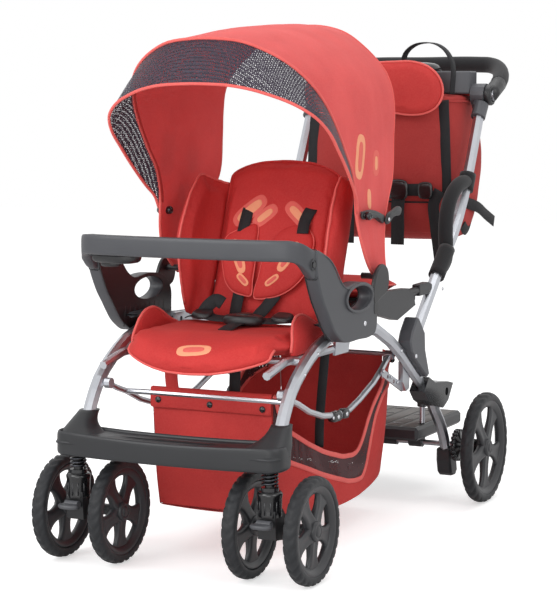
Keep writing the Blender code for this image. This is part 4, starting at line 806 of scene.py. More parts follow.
gripLoop = [(.2080, .8000, .5085), (.2080, .8250, .5170), (.2060, .8460, .5300), (.2040, .8560, .5520),
            (.2030, .8550, .5850), (.2030, .8600, .6220), (.2040, .8740, .6520), (.2060, .8980, .6760),
            (.2080, .9300, .6890), (.2080, .9670, .6910)]
gripShape = {"foam": 0.0160, "sleeves": [(0.0180, 8, [(0.789, 0.4965), (0.822, 0.5250), (0.851, 0.5505)]),
                                         (0.0182, 6, [(0.958, 0.6730), (0.967, 0.6890), (0.977, 0.7080)])]}
for tag, side in sides:
    path = smoothLine([at(side * x, y, z) for x, y, z in gripLoop], 40)
    parts = [sweepData(path, roundSection(gripShape["foam"], 18))]
    for radius, steps, line in gripShape["sleeves"]:
        parts.append(sweepData(smoothLine([at(side * 0.208, y, z) for y, z in line], steps),
                               roundSection(radius, 20)))
    carry(joinMeshes("grabGrip" + tag.upper(), parts, foamGrip), "rear_frame",
          ["grab_grip_" + tag])
print("handle dressed")


# armrests, tray and footrest

armShape = {"inner": 0.2175, "thick": 0.026, "roll": 0.0035,
            "outline": [(.1128, .6020), (.1360, .5960), (.1600, .5860), (.1800, .5720), (.1980, .5540),
                        (.2150, .5370), (.2420, .5240), (.2640, .5250), (.2870, .5280), (.3140, .5275),
                        (.3400, .5240), (.3620, .5160), (.3780, .5040), (.3880, .4850), (.3880, .4600),
                        (.3865, .4360), (.3780, .4220), (.3600, .4180), (.3000, .4178), (.2500, .4180),
                        (.2260, .4215), (.2060, .4320), (.1880, .4450), (.1720, .4630), (.1560, .4830),
                        (.1400, .5020), (.1260, .5240), (.1160, .5430), (.1128, .5500)],
            "ring": ((0.297, 0.4985), (0.0640, 0.0285)), "hole": ((0.297, 0.4985), (0.0565, 0.0222)),
            "bracket": [(0.372, 0.480), (0.405, 0.488), (0.436, 0.500), (0.444, 0.520), (0.436, 0.544),
                        (0.412, 0.554), (0.390, 0.546), (0.374, 0.525), (0.366, 0.500)],
            "link": [(0.3730, 0.4600), (0.3865, 0.4600), (0.3890, 0.4850), (0.3800, 0.4920),
                     (0.3735, 0.4860)],
            "strap": [(0.208, 0.4530), (0.260, 0.4535), (0.315, 0.4540)]}
for tag, side in sides:
    near, far = side * armShape["inner"], side * (armShape["inner"] + armShape["thick"])
    hole = ovalRing(*armShape["hole"])
    parts = [plateData(armShape["outline"], [hole], near, far, armShape["roll"]),
             plateData(ovalRing(*armShape["ring"]), [ovalRing((0.297, 0.4985), (0.0572, 0.0228))],
                       side * 0.2255, side * 0.2478, 0.0018),
             turnedData([(0.0050, 0.0), (0.0050, 0.0420), (0.0001, 0.0422)], at(side * 0.2210, 0.355, 0.432),
                        (-side, 0, 0), 20),
             sweepData([at(side * 0.2060, y, z) for y, z in armShape["strap"]], flatSection(0.012, 0.030),
                       (side, 0, 0))]
    carry(joinMeshes("armrestShell" + tag.upper(), parts, greyPlastic), "front_frame",
          ["armrest_" + tag])
    bracket = [plateData(armShape["bracket"], [], side * 0.2362, side * 0.2448, 0.0030, 60),
               plateData(armShape["link"], [], side * 0.2340, side * 0.2446, 0.0010, 40),
               turnedData([(0.0060, 0.0), (0.0060, 0.0438), (0.0001, 0.0440)],
                          at(side * 0.2438, 0.410, 0.530), (-side, 0, 0), 20)]
    carry(joinMeshes("canopyBracket" + tag.upper(), bracket, blackPlastic), "front_frame")
    # a thin black sheet over each armrest's inner face: painted shade on that face
    inside = plateData(armShape["outline"], [hole], side * 0.2160, side * 0.2180, 0.0008)
    carry(joinMeshes("armrestShadeSheet" + tag.upper(), [inside], blackPlastic), "front_frame")
    # raised lip along the armrest's outer face
    lip = smoothLine([at(side * 0.2440, y, z) for y, z in armShape["outline"][1:9]], 40)
    carry(sweepPiece("armrestLip" + tag.upper(), [p + Vector((0, 0.003, -0.004)) for p in lip],
                     roundSection(0.0012, 8), greyPlastic), "front_frame")

trayShape = {"thick": 0.0215, "corner": [(0.2305, 0.1127), (0.2302, 0.1000), (0.2285, 0.0880),
                                         (0.2245, 0.0770), (0.2180, 0.0675), (0.2080, 0.0600),
                                         (0.1940, 0.0545), (0.1760, 0.0505), (0.1450, 0.0470),
                                         (0.0800, 0.0420)]}
trayLine = trayShape["corner"] + [(0, 0.0402)] + mirrored(trayShape["corner"])
plan = smoothLine([(x, y, 0) for x, y in trayLine], 121)
rail = [(1, .10), (1, .40), (.94, .80), (.97, .93), (.8, 1), (.3, .985), (-.5, .985), (-.85, 1), (-1, .92),
        (-1, .10), (-.8, 0), (.8, 0)]
points = []
for k, spot in enumerate(plan):
    along = (plan[min(k + 1, 120)] - plan[max(k - 1, 0)]).normalized()
    if k in (0, 120):
        along = Vector((0, -1 if k == 0 else 1, 0))
    across = Vector((-along.y, along.x, 0))
    drop = min(1.0, max(0.0, (spot.y - 0.058) / 0.054)) if abs(spot.x) > 0.15 else 0.0
    drop = drop * drop * (3 - 2 * drop)
    low, high = 0.5835 - 0.0345 * drop, 0.6225 - 0.0205 * drop
    for u, v in rail:
        points.append(at(0, 0, low + (high - low) * v) + spot + across * (-u * trayShape["thick"] / 2))
trayParts = [(points, ringFaces(len(plan), len(rail)))]
for side in (1, -1):
    trayParts.append(sweepData([at(side * 0.2305, 0.105, 0.574), at(side * 0.2305, 0.125, 0.574),
                                at(side * 0.2305, 0.1489, 0.574)], flatSection(0.029, 0.0106), (side, 0, 0)))
carry(soften(joinMeshes("trayRail", trayParts, greyPlastic)), "tray", ["tray"])
# clip under the rail's far corner
clip = [leafData([(-0.208, 0.066), (-0.190, 0.058), (-0.125, 0.054), (-0.112, 0.062), (-0.112, 0.090),
                  (-0.130, 0.098), (-0.195, 0.098), (-0.208, 0.088)], lambda u, v, h: at(u, v, 0.5830 - h),
                  0.016, 0.02, 48),
        leafData([(-0.190, 0.070), (-0.160, 0.066), (-0.150, 0.074), (-0.152, 0.086), (-0.185, 0.088)],
                 lambda u, v, h: at(u, v, 0.5680 - h), 0.008, 0.02, 32)]
carry(joinMeshes("trayClip", clip, blackPlastic), "tray")
# bezels round the release buttons
bezels = []
for side in (1, -1):
    bezels.append(turnedData([(0.0108, 0.0), (0.0112, 0.0012), (0.0100, 0.0016), (0.0092, 0.0006)],
                             at(side * 0.2410, 0.0975, 0.577), (side, 0, 0), 28))
carry(joinMeshes("trayBezels", bezels, blackPlastic), "tray")

footShape = {"level": 0.2155, "sag": 0.0035, "bootTop": 0.290, "bootFoot": 0.2380, "treads": 5}


def footRing(side, share):       # the boot round the frame tube: share 0 at its top, 1 in the footrest
    flare = share ** 2.6
    z = footShape["bootTop"] + (footShape["bootFoot"] - footShape["bootTop"]) * share
    middle = 0.0455 * (1 - share) ** 1.2
    inner, outer = 0.0195 + 0.075 * flare, 0.0190 + 0.0125 * min(1.0, 1.6 * share)
    front, rear = 0.0200 + 0.0225 * share ** 1.2, 0.0200 + 0.0190 * share ** 1.4
    made = []
    for k in range(40):
        a = 2 * math.pi * k / 40
        power = 1.0 - 0.35 * share
        u, v = squared(math.cos(a), power), squared(math.sin(a), power)
        x = 0.203 + u * (outer if u > 0 else inner)
        made.append(at(side * x, middle + v * (rear if v > 0 else front) - 0.0015 * share, z))
    return made


half = [(0.2320, 0.0200), (0.2350, 0.0000), (0.2325, -0.0230), (0.2220, -0.0345), (0.2000, -0.0405),
        (0.1500, -0.0470), (0.0800, -0.0530)]
back = [(0.2250, 0.0350), (0.2000, 0.0400), (0.1200, 0.0400)]
outline = [(0.0, -0.0555)] + half[::-1] + back + mirrored(half[::-1] + back)
edge = smoothRing(outline, 160)
levels = [(0.955, 0.0), (0.988, 0.0018), (1.0, 0.0060), (0.9985, 0.0200), (0.9975, 0.0330), (0.990, 0.0390),
          (0.972, 0.0428), (0.945, 0.0442)]
points = []
for share, rise in levels:
    for p in edge:
        sag = footShape["sag"] * (1 - min(1.0, abs(p.x) / 0.19) ** 2) if rise > 0.02 else 0.0
        points.append(at(p.x * (1 - (1 - share) * 0.30), p.y * share - (1 - share) * 0.004,
                         footShape["level"] + rise - sag))
for share, rise in ((0.925, 0.0405), (0.90, 0.0385), (0.5, 0.0380), (0.1, 0.0380)):
    for p in edge:
        sag = footShape["sag"] * (1 - min(1.0, abs(p.x) / 0.19) ** 2)
        points.append(at(p.x * (1 - (1 - share) * (0.30 if share > 0.8 else 0.5)), p.y * share,
                         footShape["level"] + rise - sag))
parts = [(points, ringFaces(len(levels) + 4, len(edge)))]
for tag, side in sides:
    rings = [footRing(side, k / 14) for k in range(15)]
    parts.append(([p for row in rings for p in row], ringFaces(15, 40)))
carry(joinMeshes("footrestShell", parts, footPlastic), "front_frame", ["footrest"])
treads = []
for number in range(footShape["treads"]):
    y = -0.022 + 0.011 * number
    treads.append(sweepData([at(-0.120, y, 0.2508), at(0, y, 0.2500), at(0.120, y, 0.2508)],
                            flatSection(0.005, 0.0024), (0, 0, 1)))
carry(joinMeshes("footrestTreads", treads, blackPlastic), "front_frame")
print("armrests, tray and footrest moulded")


# seat, apron and side wings

seatShape = {"fill": 0.027, "cap": 0.006, "front": 0.062, "back": 0.352, "level": 0.4173}
rows = []
for k in range(25):
    place = 2.0 * k / 24
    row = []
    for j in range(-10, 11):
        c = j / 10
        x = c * (0.152 + 0.019 * min(1.0, max(0.0, (place - 0.7) / 0.3)))
        bow = abs(c) ** 2.2
        front, drop = seatShape["front"] + 0.046 * bow, 0.366 + 0.030 * bow
        if place <= 1.0:
            y = front + (0.146 - front) * (1 - math.cos(place * math.pi / 2))
            z = drop + (seatShape["level"] - drop) * math.sin(place * math.pi / 2)
        else:
            y = 0.146 + (seatShape["back"] - 0.146) * (place - 1.0)
            z = seatShape["level"] - 0.003 * math.sin((place - 1.0) * math.pi) * (1 - c * c)
        row.append(at(x, y, z))
    rows.append(row)
seat = inflate(padPiece("seatCushion", rows, seatShape["fill"], seatCloth, 0.30), seatShape["cap"])
carry(seat, "front_frame", ["seat_pad"])
apronEdge = smoothLine([rows[8][0]] + [r[0] for r in rows[6::-3]] + rows[0][1:-1:2]
                       + [r[-1] for r in rows[0:7:3]] + [rows[8][-1]], 90)
piping = [sweepData(hugLine([p + Vector((0, -0.006, -0.002)) for p in apronEdge], seat, 0.0010),
                    roundSection(0.0026, 10))]
carry(joinMeshes("apronPiping", piping, pipingCloth), "front_frame")

wingOutline = [(0.150, 0.402), (0.158, 0.430), (0.170, 0.455), (0.188, 0.468), (0.214, 0.471), (0.240, 0.464),
               (0.268, 0.452), (0.300, 0.438), (0.335, 0.424), (0.345, 0.408), (0.290, 0.400), (0.200, 0.398)]
for tag, side in sides:

    def wingPlace(u, v, h):
        return at(side * (0.1700 + h - 0.010 * max(0.0, v - 0.42) / 0.05), u, v)
    wing = joinMeshes("seatWing" + tag.upper(), [leafData(wingOutline, wingPlace, 0.009, 1.0)], seatCloth)
    carry(inflate(wing, 0.005, 0.004), "front_frame")
    edge = [wingPlace(p.x, p.y, 0.0) for p in smoothLine([(u, v, 0) for u, v in wingOutline[:10]], 40)]
    edge = hugLine([p + Vector((0, 0, 0.004)) for p in edge], wing, 0.0008)
    carry(sweepPiece("seatWingPiping" + tag.upper(), edge, roundSection(0.0028, 10), pipingCloth),
          "front_frame")
print("seat padded")


# backrest

backShape = {"pin": (0.392, 0.420), "lean": math.radians(18), "seam": 0.132, "fill": 0.028, "cap": 0.007}


def backAt(x, along, forward):
    lean = backShape["lean"]
    return at(x, backShape["pin"][0] + along * math.sin(lean) - forward * math.cos(lean),
              backShape["pin"][1] + along * math.cos(lean) + forward * math.sin(lean))


def backTop(x):          # height of the arched top edge
    return 0.300 + 0.047 * max(0.0, 1 - (abs(x) / 0.140) ** 2.6) ** 0.8


rows = []
for k in range(23):
    share = k / 22
    row = []
    for j in range(-10, 11):
        c = j / 10
        x = c * (backShape["seam"] - 0.006 * share)
        top = backTop(x)
        row.append(backAt(x, 0.006 + (top - 0.006) * share,
                          0.003 + 0.010 * (1 - c * c) * math.sin(share * math.pi)))
    rows.append(row)
backPad = inflate(padPiece("backrestPad", rows, backShape["fill"], seatCloth, 0.30), backShape["cap"])
carry(backPad, "backrest", ["backrest_pad"])
topEdge = smoothLine([r[0] for r in rows[10::2]] + rows[-1][1:-1:2] + [r[-1] for r in rows[:9:-2]], 80)
topEdge = hugLine([p + Vector((0, -0.010, 0.004)) for p in topEdge], backPad, 0.0008)

reachTable = [(0.0, 0.045), (0.05, 0.088), (0.11, 0.116), (0.17, 0.120), (0.23, 0.112), (0.27, 0.098),
              (0.30, 0.078)]
for tag, side in sides:
    rows = []
    for k in range(17):
        share = k / 16
        along = 0.006 + 0.290 * share
        reach = float(np.interp(along, [r[0] for r in reachTable], [r[1] for r in reachTable]))
        row = []
        for j in range(11):
            s = j / 10
            x = backShape["seam"] - 0.004 + 0.036 * math.sin(min(1.0, s * 1.5) * math.pi / 2)
            x *= 1.0 - 0.05 * share ** 3 - 0.04 * (1 - share) ** 2
            forward = 0.004 + (reach - 0.004) * s ** 1.25
            droop = 0.004 * math.sin(share * 9 + s * 3) * (1 - share) ** 2
            row.append(backAt(side * (x + droop), along + 0.012 * (s - s * s), forward))
        rows.append(row)
    wing = inflate(padPiece("backWing" + tag.upper(), rows, 0.019, seatCloth, 0.35), 0.007, 0.0045)
    carry(wing, "backrest")
    edge = smoothLine(rows[-1][::2] + [r[-1] for r in rows[-2::-2]], 60)
    edge = hugLine([p + Vector((0, -0.008, 0.002)) for p in edge], wing, 0.0008)
    carry(sweepPiece("backWingPiping" + tag.upper(), edge,
                     roundSection(0.0024, 10), pipingCloth), "backrest")
carry(sweepPiece("backrestPiping", topEdge, roundSection(0.0022, 10), seatCloth), "backrest")

# plain stitched bars: centre, length, width and angle of each
barDesign = {"back": [((-0.060, 0.232), 0.066, 0.020, 40), ((-0.022, 0.222), 0.040, 0.014, 40),
                      ((0.052, 0.226), 0.050, 0.016, -40)],
             "Left": [((-0.062, 0.132), 0.078, 0.022, -64), ((-0.043, 0.084), 0.034, 0.014, -40)],
             "Right": [((0.048, 0.136), 0.070, 0.022, 62), ((0.020, 0.086), 0.034, 0.014, 40)]}


def barOutline(centre, length, width, angle):
    a = math.radians(angle)
    made = []
    for k in range(20):
        t = 2 * math.pi * k / 20
        u, v = length / 2 * squared(math.cos(t), 0.6), width / 2 * squared(math.sin(t), 0.7)
        made.append((centre[0] + u * math.cos(a) - v * math.sin(a),
                     centre[1] + u * math.sin(a) + v * math.cos(a)))
    return made


# lays a flat outline on a pad: place(u, v) gives a point a little in front of it
def patchPiece(name, outline, tree, place, finish, body, lift):
    edge = smoothRing(outline, 48)
    middle = sum(edge, Vector()) / len(edge)
    points = []
    shares = (1.0, 0.96, 0.85, 0.7, 0.5, 0.3, 0.12)
    for number, share in enumerate(shares):
        for p in edge:
            q = middle + (p - middle) * share
            start = place(q.x, q.y)
            hit = tree.find_nearest(start)[0]
            points.append(hit + (start - hit).normalized() * (lift * (0.1 if number == 0 else 1.0)))
    faces = ringFaces(len(shares), len(edge), False)
    faces.append(tuple(range((len(shares) - 1) * len(edge), len(shares) * len(edge))))
    return carry(showMesh(name, points, faces, finish), body)


lean = backShape["lean"]
backTree = surfaceOf(backPad)
for number, (centre, length, width, angle) in enumerate(barDesign["back"]):
    for name, longer, wider, finish, lift in (("backBarWide", 0.022, 0.016, roseTwill, 0.0006),
                                              ("backBarSlim", 0.0, 0.0, peachTwill, 0.0014)):
        patchPiece("%s%d" % (name, number), barOutline(centre, length + longer, width + wider, angle),
                   backTree, lambda u, v: backAt(u, v, 0.05), finish, "backrest", lift)
seatTree = surfaceOf(seat)
for number, (length, width, finish) in enumerate(((0.070, 0.030, peachTwill), (0.044, 0.014, roseTwill))):
    patchPiece("apronBar%d" % number, barOutline((0.010, 0.045), length, width, 8), seatTree,
               lambda u, v: at(u, 0.040 + v * 0.5, 0.375 + v), finish, "front_frame",
               0.0006 + 0.0008 * number)
print("backrest padded")


# harness

harness = {"webbing": 0.026, "thick": 0.0018, "padFill": 0.010, "buckle": 0.4375}
leftPad = [(-.0377, .2033), (-.0772, .1893), (-.0984, .175), (-.1023, .1372), (-.0939, .1056),
           (-.0825, .0774), (-.0622, .0593), (-.0407, .054), (-.0263, .0520), (-.0249, .0862),
           (-.0287, .1558)]
rightPad = [(.0300, .2010), (.0640, .2050), (.0930, .1760), (.0930, .1412), (.0844, .100), (.0640, .0743),
            (.0375, .0576), (.0082, .0500), (-.0150, .0490), (-.0140, .095), (-.0060, .150)]
for label, outline, lift in (("Left", leftPad, 0.031), ("Right", rightPad, 0.027)):
    def padPlace(u, v, h):
        return backAt(u, v, lift + h + 0.010 * math.sin(min(1.0, max(0.0, (0.20 - v) / 0.15)) * math.pi / 2))
    pad = joinMeshes("chestPad" + label, [leafData(outline, padPlace, harness["padFill"], 0.35)], seatCloth)
    carry(pad, "backrest")
    carry(sweepPiece("chestPadPiping" + label, leafEdge(outline, padPlace, 0.002), roundSection(0.0017, 8),
                     pipingCloth, closed=True), "backrest")
    for number, (centre, length, width, angle) in enumerate(barDesign[label]):
        for name, long, wide, rise, finish in (("chestBar", 1.0, 1.0, 0.0, peachTwill),
                                               ("chestBarCore", 0.72, 0.5, 0.0007, roseTwill)):
            bar = leafData(barOutline(centre, length * long, width * wide, angle),
                           lambda u, v, h: padPlace(u, v, harness["padFill"] + rise + h), 0.0010, 0.8, 48)
            carry(joinMeshes("%s%s%d" % (name, label, number), [bar], finish), "backrest")

towardsChild = [Vector((0, -math.cos(lean), math.sin(lean)))] * 24
webbing = flatSection(harness["webbing"], harness["thick"])
shoulder = []
for x0, x1 in ((-0.062, -0.063), (0.078, 0.070)):
    line = [(x0, 0.246, 0.014), (x0, 0.241, 0.026), (x1, 0.215, 0.034), (x1, 0.185, 0.040)]
    shoulder.append(sweepData(smoothLine([backAt(*p) for p in line], 24), webbing, towardsChild))
carry(joinMeshes("shoulderWebbing", shoulder, webbingBlack), "backrest")
lower = []
for line in ([(-0.052, 0.060, 0.040), (-0.054, 0.030, 0.040), (-0.050, 0.006, 0.046),
              (-0.030, -0.010, 0.060)],
             [(0.030, 0.060, 0.038), (0.012, 0.030, 0.042), (-0.002, 0.006, 0.050), (-0.004, -0.010, 0.060)]):
    lower.append(sweepData(smoothLine([backAt(*p) for p in line], 24), webbing, towardsChild))
carry(joinMeshes("chestWebbing", lower, webbingBlack), "backrest")

# centre buckle, waist straps with their slides, and the crotch strap on the seat
top = harness["buckle"]
buckle = [leafData([(-0.030, 0.262), (-0.010, 0.252), (0.020, 0.252), (0.046, 0.264), (0.050, 0.284),
                    (0.030, 0.300), (0.000, 0.304), (-0.026, 0.296), (-0.036, 0.280)],
                   lambda u, v, h: at(u, v, top + 0.004 + h), 0.016, 0.3)]
buckle.append(leafData([(-0.006, 0.270), (0.022, 0.268), (0.024, 0.288), (-0.004, 0.290)],
                       lambda u, v, h: at(u, v, top + 0.0185 + h), 0.004, 0.3, 32))
for x in (-0.094, 0.082):
    buckle.append(leafData([(x - 0.020, 0.286), (x + 0.018, 0.282), (x + 0.022, 0.302), (x - 0.018, 0.308)],
                           lambda u, v, h: at(u, v, top + 0.008 + 0.3 * (v - 0.282) + h), 0.009, 0.3, 32))
carry(joinMeshes("harnessBuckle", buckle, blackPlastic), "front_frame")
# each strap's points (x, y, rise over the buckle's foot), its width and where it faces
lapStraps = [([(-0.030, 0.282, 0.008), (-0.060, 0.288, 0.008), (-0.094, 0.296, 0.012), (-0.122, 0.312, 0.010),
               (-0.140, 0.330, 0.004)], 0.026, (0, -0.35, 0.94)),
             ([(0.040, 0.282, 0.008), (0.064, 0.286, 0.008), (0.090, 0.294, 0.010), (0.118, 0.312, 0.010),
               (0.138, 0.330, 0.004)], 0.026, (0, -0.35, 0.94)),
             ([(-0.096, 0.300, 0.014), (-0.088, 0.310, 0.030), (-0.074, 0.318, 0.040),
               (-0.060, 0.318, 0.034)], 0.026, (0.3, -0.9, 0.3)),
             ([(0.008, 0.256, 0.006), (0.008, 0.235, 0.004), (0.008, 0.215, 0.0015), (0.008, 0.196, -0.002)],
              0.030, (0, 0, 1))]
waist = [strapData([at(x, y, top + rise) for x, y, rise in line], width, facing)
         for line, width, facing in lapStraps]
carry(joinMeshes("waistWebbing", waist, webbingBlack), "front_frame")
print("harness laid")


# canopy

canopyShape = {"cloth": 0.0014, "swell": (-0.001, 0.011), "ruffle": 0.0035, "bandSwell": (0.0, 0.004),
               "bandRuffle": 0.0025, "piping": 0.0030}
# half bows from the pin up to the crown
canopyBows = {
    "rear": [(.2237, .4820, .5180), (.2237, .4700, .5450), (.2200, .4720, .5900), (.2130, .4920, .6300),
             (.2030, .5310, .6730), (.1980, .5640, .7150), (.1960, .5750, .7980), (.1960, .5790, .8500),
             (.1900, .5800, .8950), (.1746, .5850, .9280), (.1490, .5900, .9570), (.1210, .5920, .9820),
             (.0800, .5950, 1.0090), (.0320, .5970, 1.0225)],
    "front": [(.2237, .4300, .5200), (.2237, .4080, .5340), (.2237, .3780, .5630), (.2230, .3600, .5912),
              (.2200, .3500, .6200), (.2165, .3450, .6480), (.2155, .3410, .6920), (.2155, .3280, .7324),
              (.2155, .2929, .7773), (.2130, .2541, .8269), (.2080, .2283, .8600), (.1965, .2030, .8923),
              (.1725, .1759, .9270), (.1400, .1560, .9530), (.1175, .1461, .9652), (.0810, .1350, .9794),
              (.0310, .1298, .9861)],
    "hem": [(.2190, .3440, .6560), (.2220, .3349, .6783), (.2275, .3089, .7017), (.2325, .2643, .7419),
            (.2335, .2209, .7810), (.2320, .1848, .8135), (.2185, .1536, .8416), (.1975, .1339, .8593),
            (.1690, .1172, .8744), (.1530, .1105, .8804), (.1225, .0994, .8904), (.0735, .0890, .8998),
            (.0270, .0860, .9025)]}


def bowLine(name, count, first=0):
    half = canopyBows[name][first:]
    return smoothLine([at(*p) for p in half + mirrored(half)], count)


def canopySheet(name, fromBow, toBow, across, finish, swell, ruffle):
    rows = []
    for i in range(across + 1):
        t = i / across
        row = []
        for k, (a, b) in enumerate(zip(fromBow, toBow)):
            p = a.lerp(b, t)
            out = Vector((p.x, 0, p.z - 0.70)).normalized()
            full = 4 * t * (1 - t) * (swell[0] + (swell[1] - swell[0]) * max(0.0, out.z))
            low = max(0.0, (0.72 - p.z) / 0.2)
            broad = noise.noise(Vector((p.x * 9, p.y * 16, p.z * 3)))
            fine = noise.noise(Vector((p.x * 5, p.y * 45, p.z * 4)))
            wave = ruffle * (broad * (0.5 + low) + 0.35 * fine * (1 - abs(2 * t - 1)))
            row.append(p + out * (full + wave * min(1.0, 6 * t, 6 * (1 - t))))
        rows.append(row)
    return sheetPiece(name, rows, finish, canopyShape["cloth"])


frontLine, rearLine = bowLine("front", 109), bowLine("rear", 109)
mainPanel = canopySheet("canopyCloth", frontLine, rearLine, 30, coralCloth, canopyShape["swell"],
                        canopyShape["ruffle"])
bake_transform(mainPanel)
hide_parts("canopy_main", "canopy_rear")
hemLine = bowLine("hem", 97)
innerLine = [p + Vector((-p.x * 0.008, 0.001, -0.0015)) for p in bowLine("front", 97, 5)]
netPanel = canopySheet("canopyNetBand", hemLine, innerLine, 10, blackNet, canopyShape["bandSwell"],
                       canopyShape["bandRuffle"])
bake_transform(netPanel)
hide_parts("canopy_visor")

for name, line, radius, finish, body in (
        ("visorHemPiping", hemLine, canopyShape["piping"], pipingCloth, "canopy_visor"),
        ("canopyFrontPiping", frontLine, canopyShape["piping"], pipingCloth, "canopy_main"),
        ("canopyRearPiping", rearLine, 0.0024, pipingCloth, "front_frame")):
    carry(sweepPiece(name, line, roundSection(radius, 10), finish), body)
binding = [[p + Vector((-p.x * 0.006, dy, dz)) for p in frontLine[14:-14]]
           for dy, dz in ((0.0, -0.0005), (0.006, -0.0012), (0.012, -0.0014))]
carry(sheetPiece("canopyFrontBinding", binding, redCloth, 0.001, 0), "canopy_main")

# folding stay with its rivets outside the canopy, and the knobs inside
knobProfile = [(0.0001, 0.0045), (0.0030, 0.0045), (0.0034, 0.0060), (0.0062, 0.0060), (0.0082, 0.0030),
               (0.0082, -0.004), (0.0001, -0.004)]
stayShape = {"thick": 0.0045, "raised": 0.0016, "panelShift": [(0.075, 0.3225), (0.092, 0.3230)],
             "arms": [[(0.3585, 0.6500), (0.3620, 0.6575), (0.3708, 0.6590), (0.4592, 0.6485),
                       (0.4720, 0.6440), (0.4700, 0.6320), (0.4594, 0.6300), (0.4465, 0.6370),
                       (0.3709, 0.6425), (0.3620, 0.6440)],
                      [(0.4650, 0.6330), (0.4720, 0.6450), (0.4982, 0.6540), (0.5430, 0.6580),
                       (0.5480, 0.6550), (0.5447, 0.6470), (0.5100, 0.6410), (0.4918, 0.6360),
                       (0.4828, 0.6290), (0.4700, 0.6280)]]}
for tag, side in sides:
    stay = []
    for number, arm in enumerate(stayShape["arms"]):
        dy, dz = stayShape["panelShift"][number]
        panel = [(u * 0.82 + dy, v * 0.5 + dz) for u, v in arm]
        step = stayShape["thick"] * number
        for outline, x, thick in ((arm, 0.2200, stayShape["thick"]), (panel, 0.2242, stayShape["raised"])):
            stay.append(leafData(outline, lambda u, v, h: at(side * (x + step + h), u, v), thick, 0.6, 40))
    piece = joinMeshes("canopyStay" + tag.upper(), stay, blackPlastic)
    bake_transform(piece)
    for name, x, y, z in (("stayFrontRivet", 0.2260, 0.3680, 0.6510),
                          ("stayMidRivet", 0.2300, 0.4760, 0.6370)):
        rivet = rivetData(at(side * x, y, z), (side, 0, 0), 0.0040)
        carry(joinMeshes(name + tag.upper(), [rivet], rivetMetal), "canopy_main")
    for name, x, facing in (("stayKnob", 0.2110, -side), ("stayCap", 0.2300, side)):
        knob = turnedData(knobProfile, at(side * x, 0.3720, 0.6500), (facing, 0, 0), 20)
        carry(joinMeshes(name + tag.upper(), [knob], glossBlack), "canopy_main")

# three plain bars on the canopy's side, two of them in two layers
sideBars = [(0.372, 0.764, 0.088, 0.050, 78, peachTwill), (0.372, 0.764, 0.060, 0.022, 78, roseTwill),
            (0.466, 0.748, 0.052, 0.036, 90, roseTwill), (0.466, 0.748, 0.028, 0.015, 90, peachTwill),
            (0.424, 0.682, 0.036, 0.024, 84, peachTwill)]
for tag, side in sides:
    for number, (y, z, length, width, angle, finish) in enumerate(sideBars):
        patchPiece("sideBar%s%d" % (tag.upper(), number), barOutline((y, z), length, width, angle),
                   surfaceOf(mainPanel), lambda u, v: at(side * 0.25, u, v), finish, "canopy_main",
                   0.0006 + 0.0008 * (number % 2))
print("canopy stretched")


# basket

basketShape = {"front": 0.158, "rear": 0.702, "net": 0.0012, "gusset": 0.0016, "panel": 0.0018, "hem": 0.0012,
               "piping": (0.010, 0.0034), "foldedTo": 0.55}
upperLine = [(0.158, 0.322), (0.184, 0.258), (0.255, 0.218), (0.333, 0.187), (0.418, 0.164), (0.468, 0.161),
             (0.490, 0.168), (0.5075, 0.189), (0.5225, 0.214), (0.548, 0.247), (0.592, 0.280), (0.640, 0.325),
             (0.702, 0.340)]
lowerLine = [(0.158, 0.225), (0.184, 0.196), (0.255, 0.169), (0.323, 0.145), (0.385, 0.126), (0.443, 0.110),
             (0.478, 0.105), (0.508, 0.104), (0.5234, 0.110), (0.5384, 0.157), (0.5565, 0.208),
             (0.579, 0.244), (0.621, 0.270), (0.702, 0.300)]
widthLine = [(0.158, 0.131), (0.184, 0.142), (0.255, 0.162), (0.425, 0.173), (0.512, 0.173), (0.595, 0.168),
             (0.650, 0.160), (0.690, 0.140), (0.702, 0.122)]


def alongLine(line, y):
    return float(np.interp(y, [p[0] for p in line], [p[1] for p in line]))


def basketPoint(side, y, level):     # level 0 rim, 1 lower line of the net, 2 floor edge
    rim, low = alongLine(upperLine, y), alongLine(lowerLine, y)
    floor = 0.094 - 0.030 * math.sin((y - 0.158) / 0.542 * math.pi)
    low = max(low, floor + 0.012)
    z = rim + (low - rim) * min(1.0, level) + (floor - low) * max(0.0, level - 1.0)
    depth = (rim - z) / max(0.03, rim - floor)
    down = (0.335 - z) / 0.27
    half = alongLine(widthLine, y) * (1 - 0.13 * down)
    belly = 0.003 * math.sin(math.pi * min(1.0, max(0.0, depth)))
    shift = y if y < 0.2 else 0.429 + (y - 0.429) * (1 - 0.025 * max(0.0, level - 1.0))
    if y > 0.68:
        shift += 0.002 * math.sin(math.pi * down)
    crease = 0.0016 * noise.noise(Vector((side * 0.3, y * 9, z * 14)))
    return at(side * (half + belly + crease), shift, z)


def foldWithFrame(piece):
    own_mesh(piece)


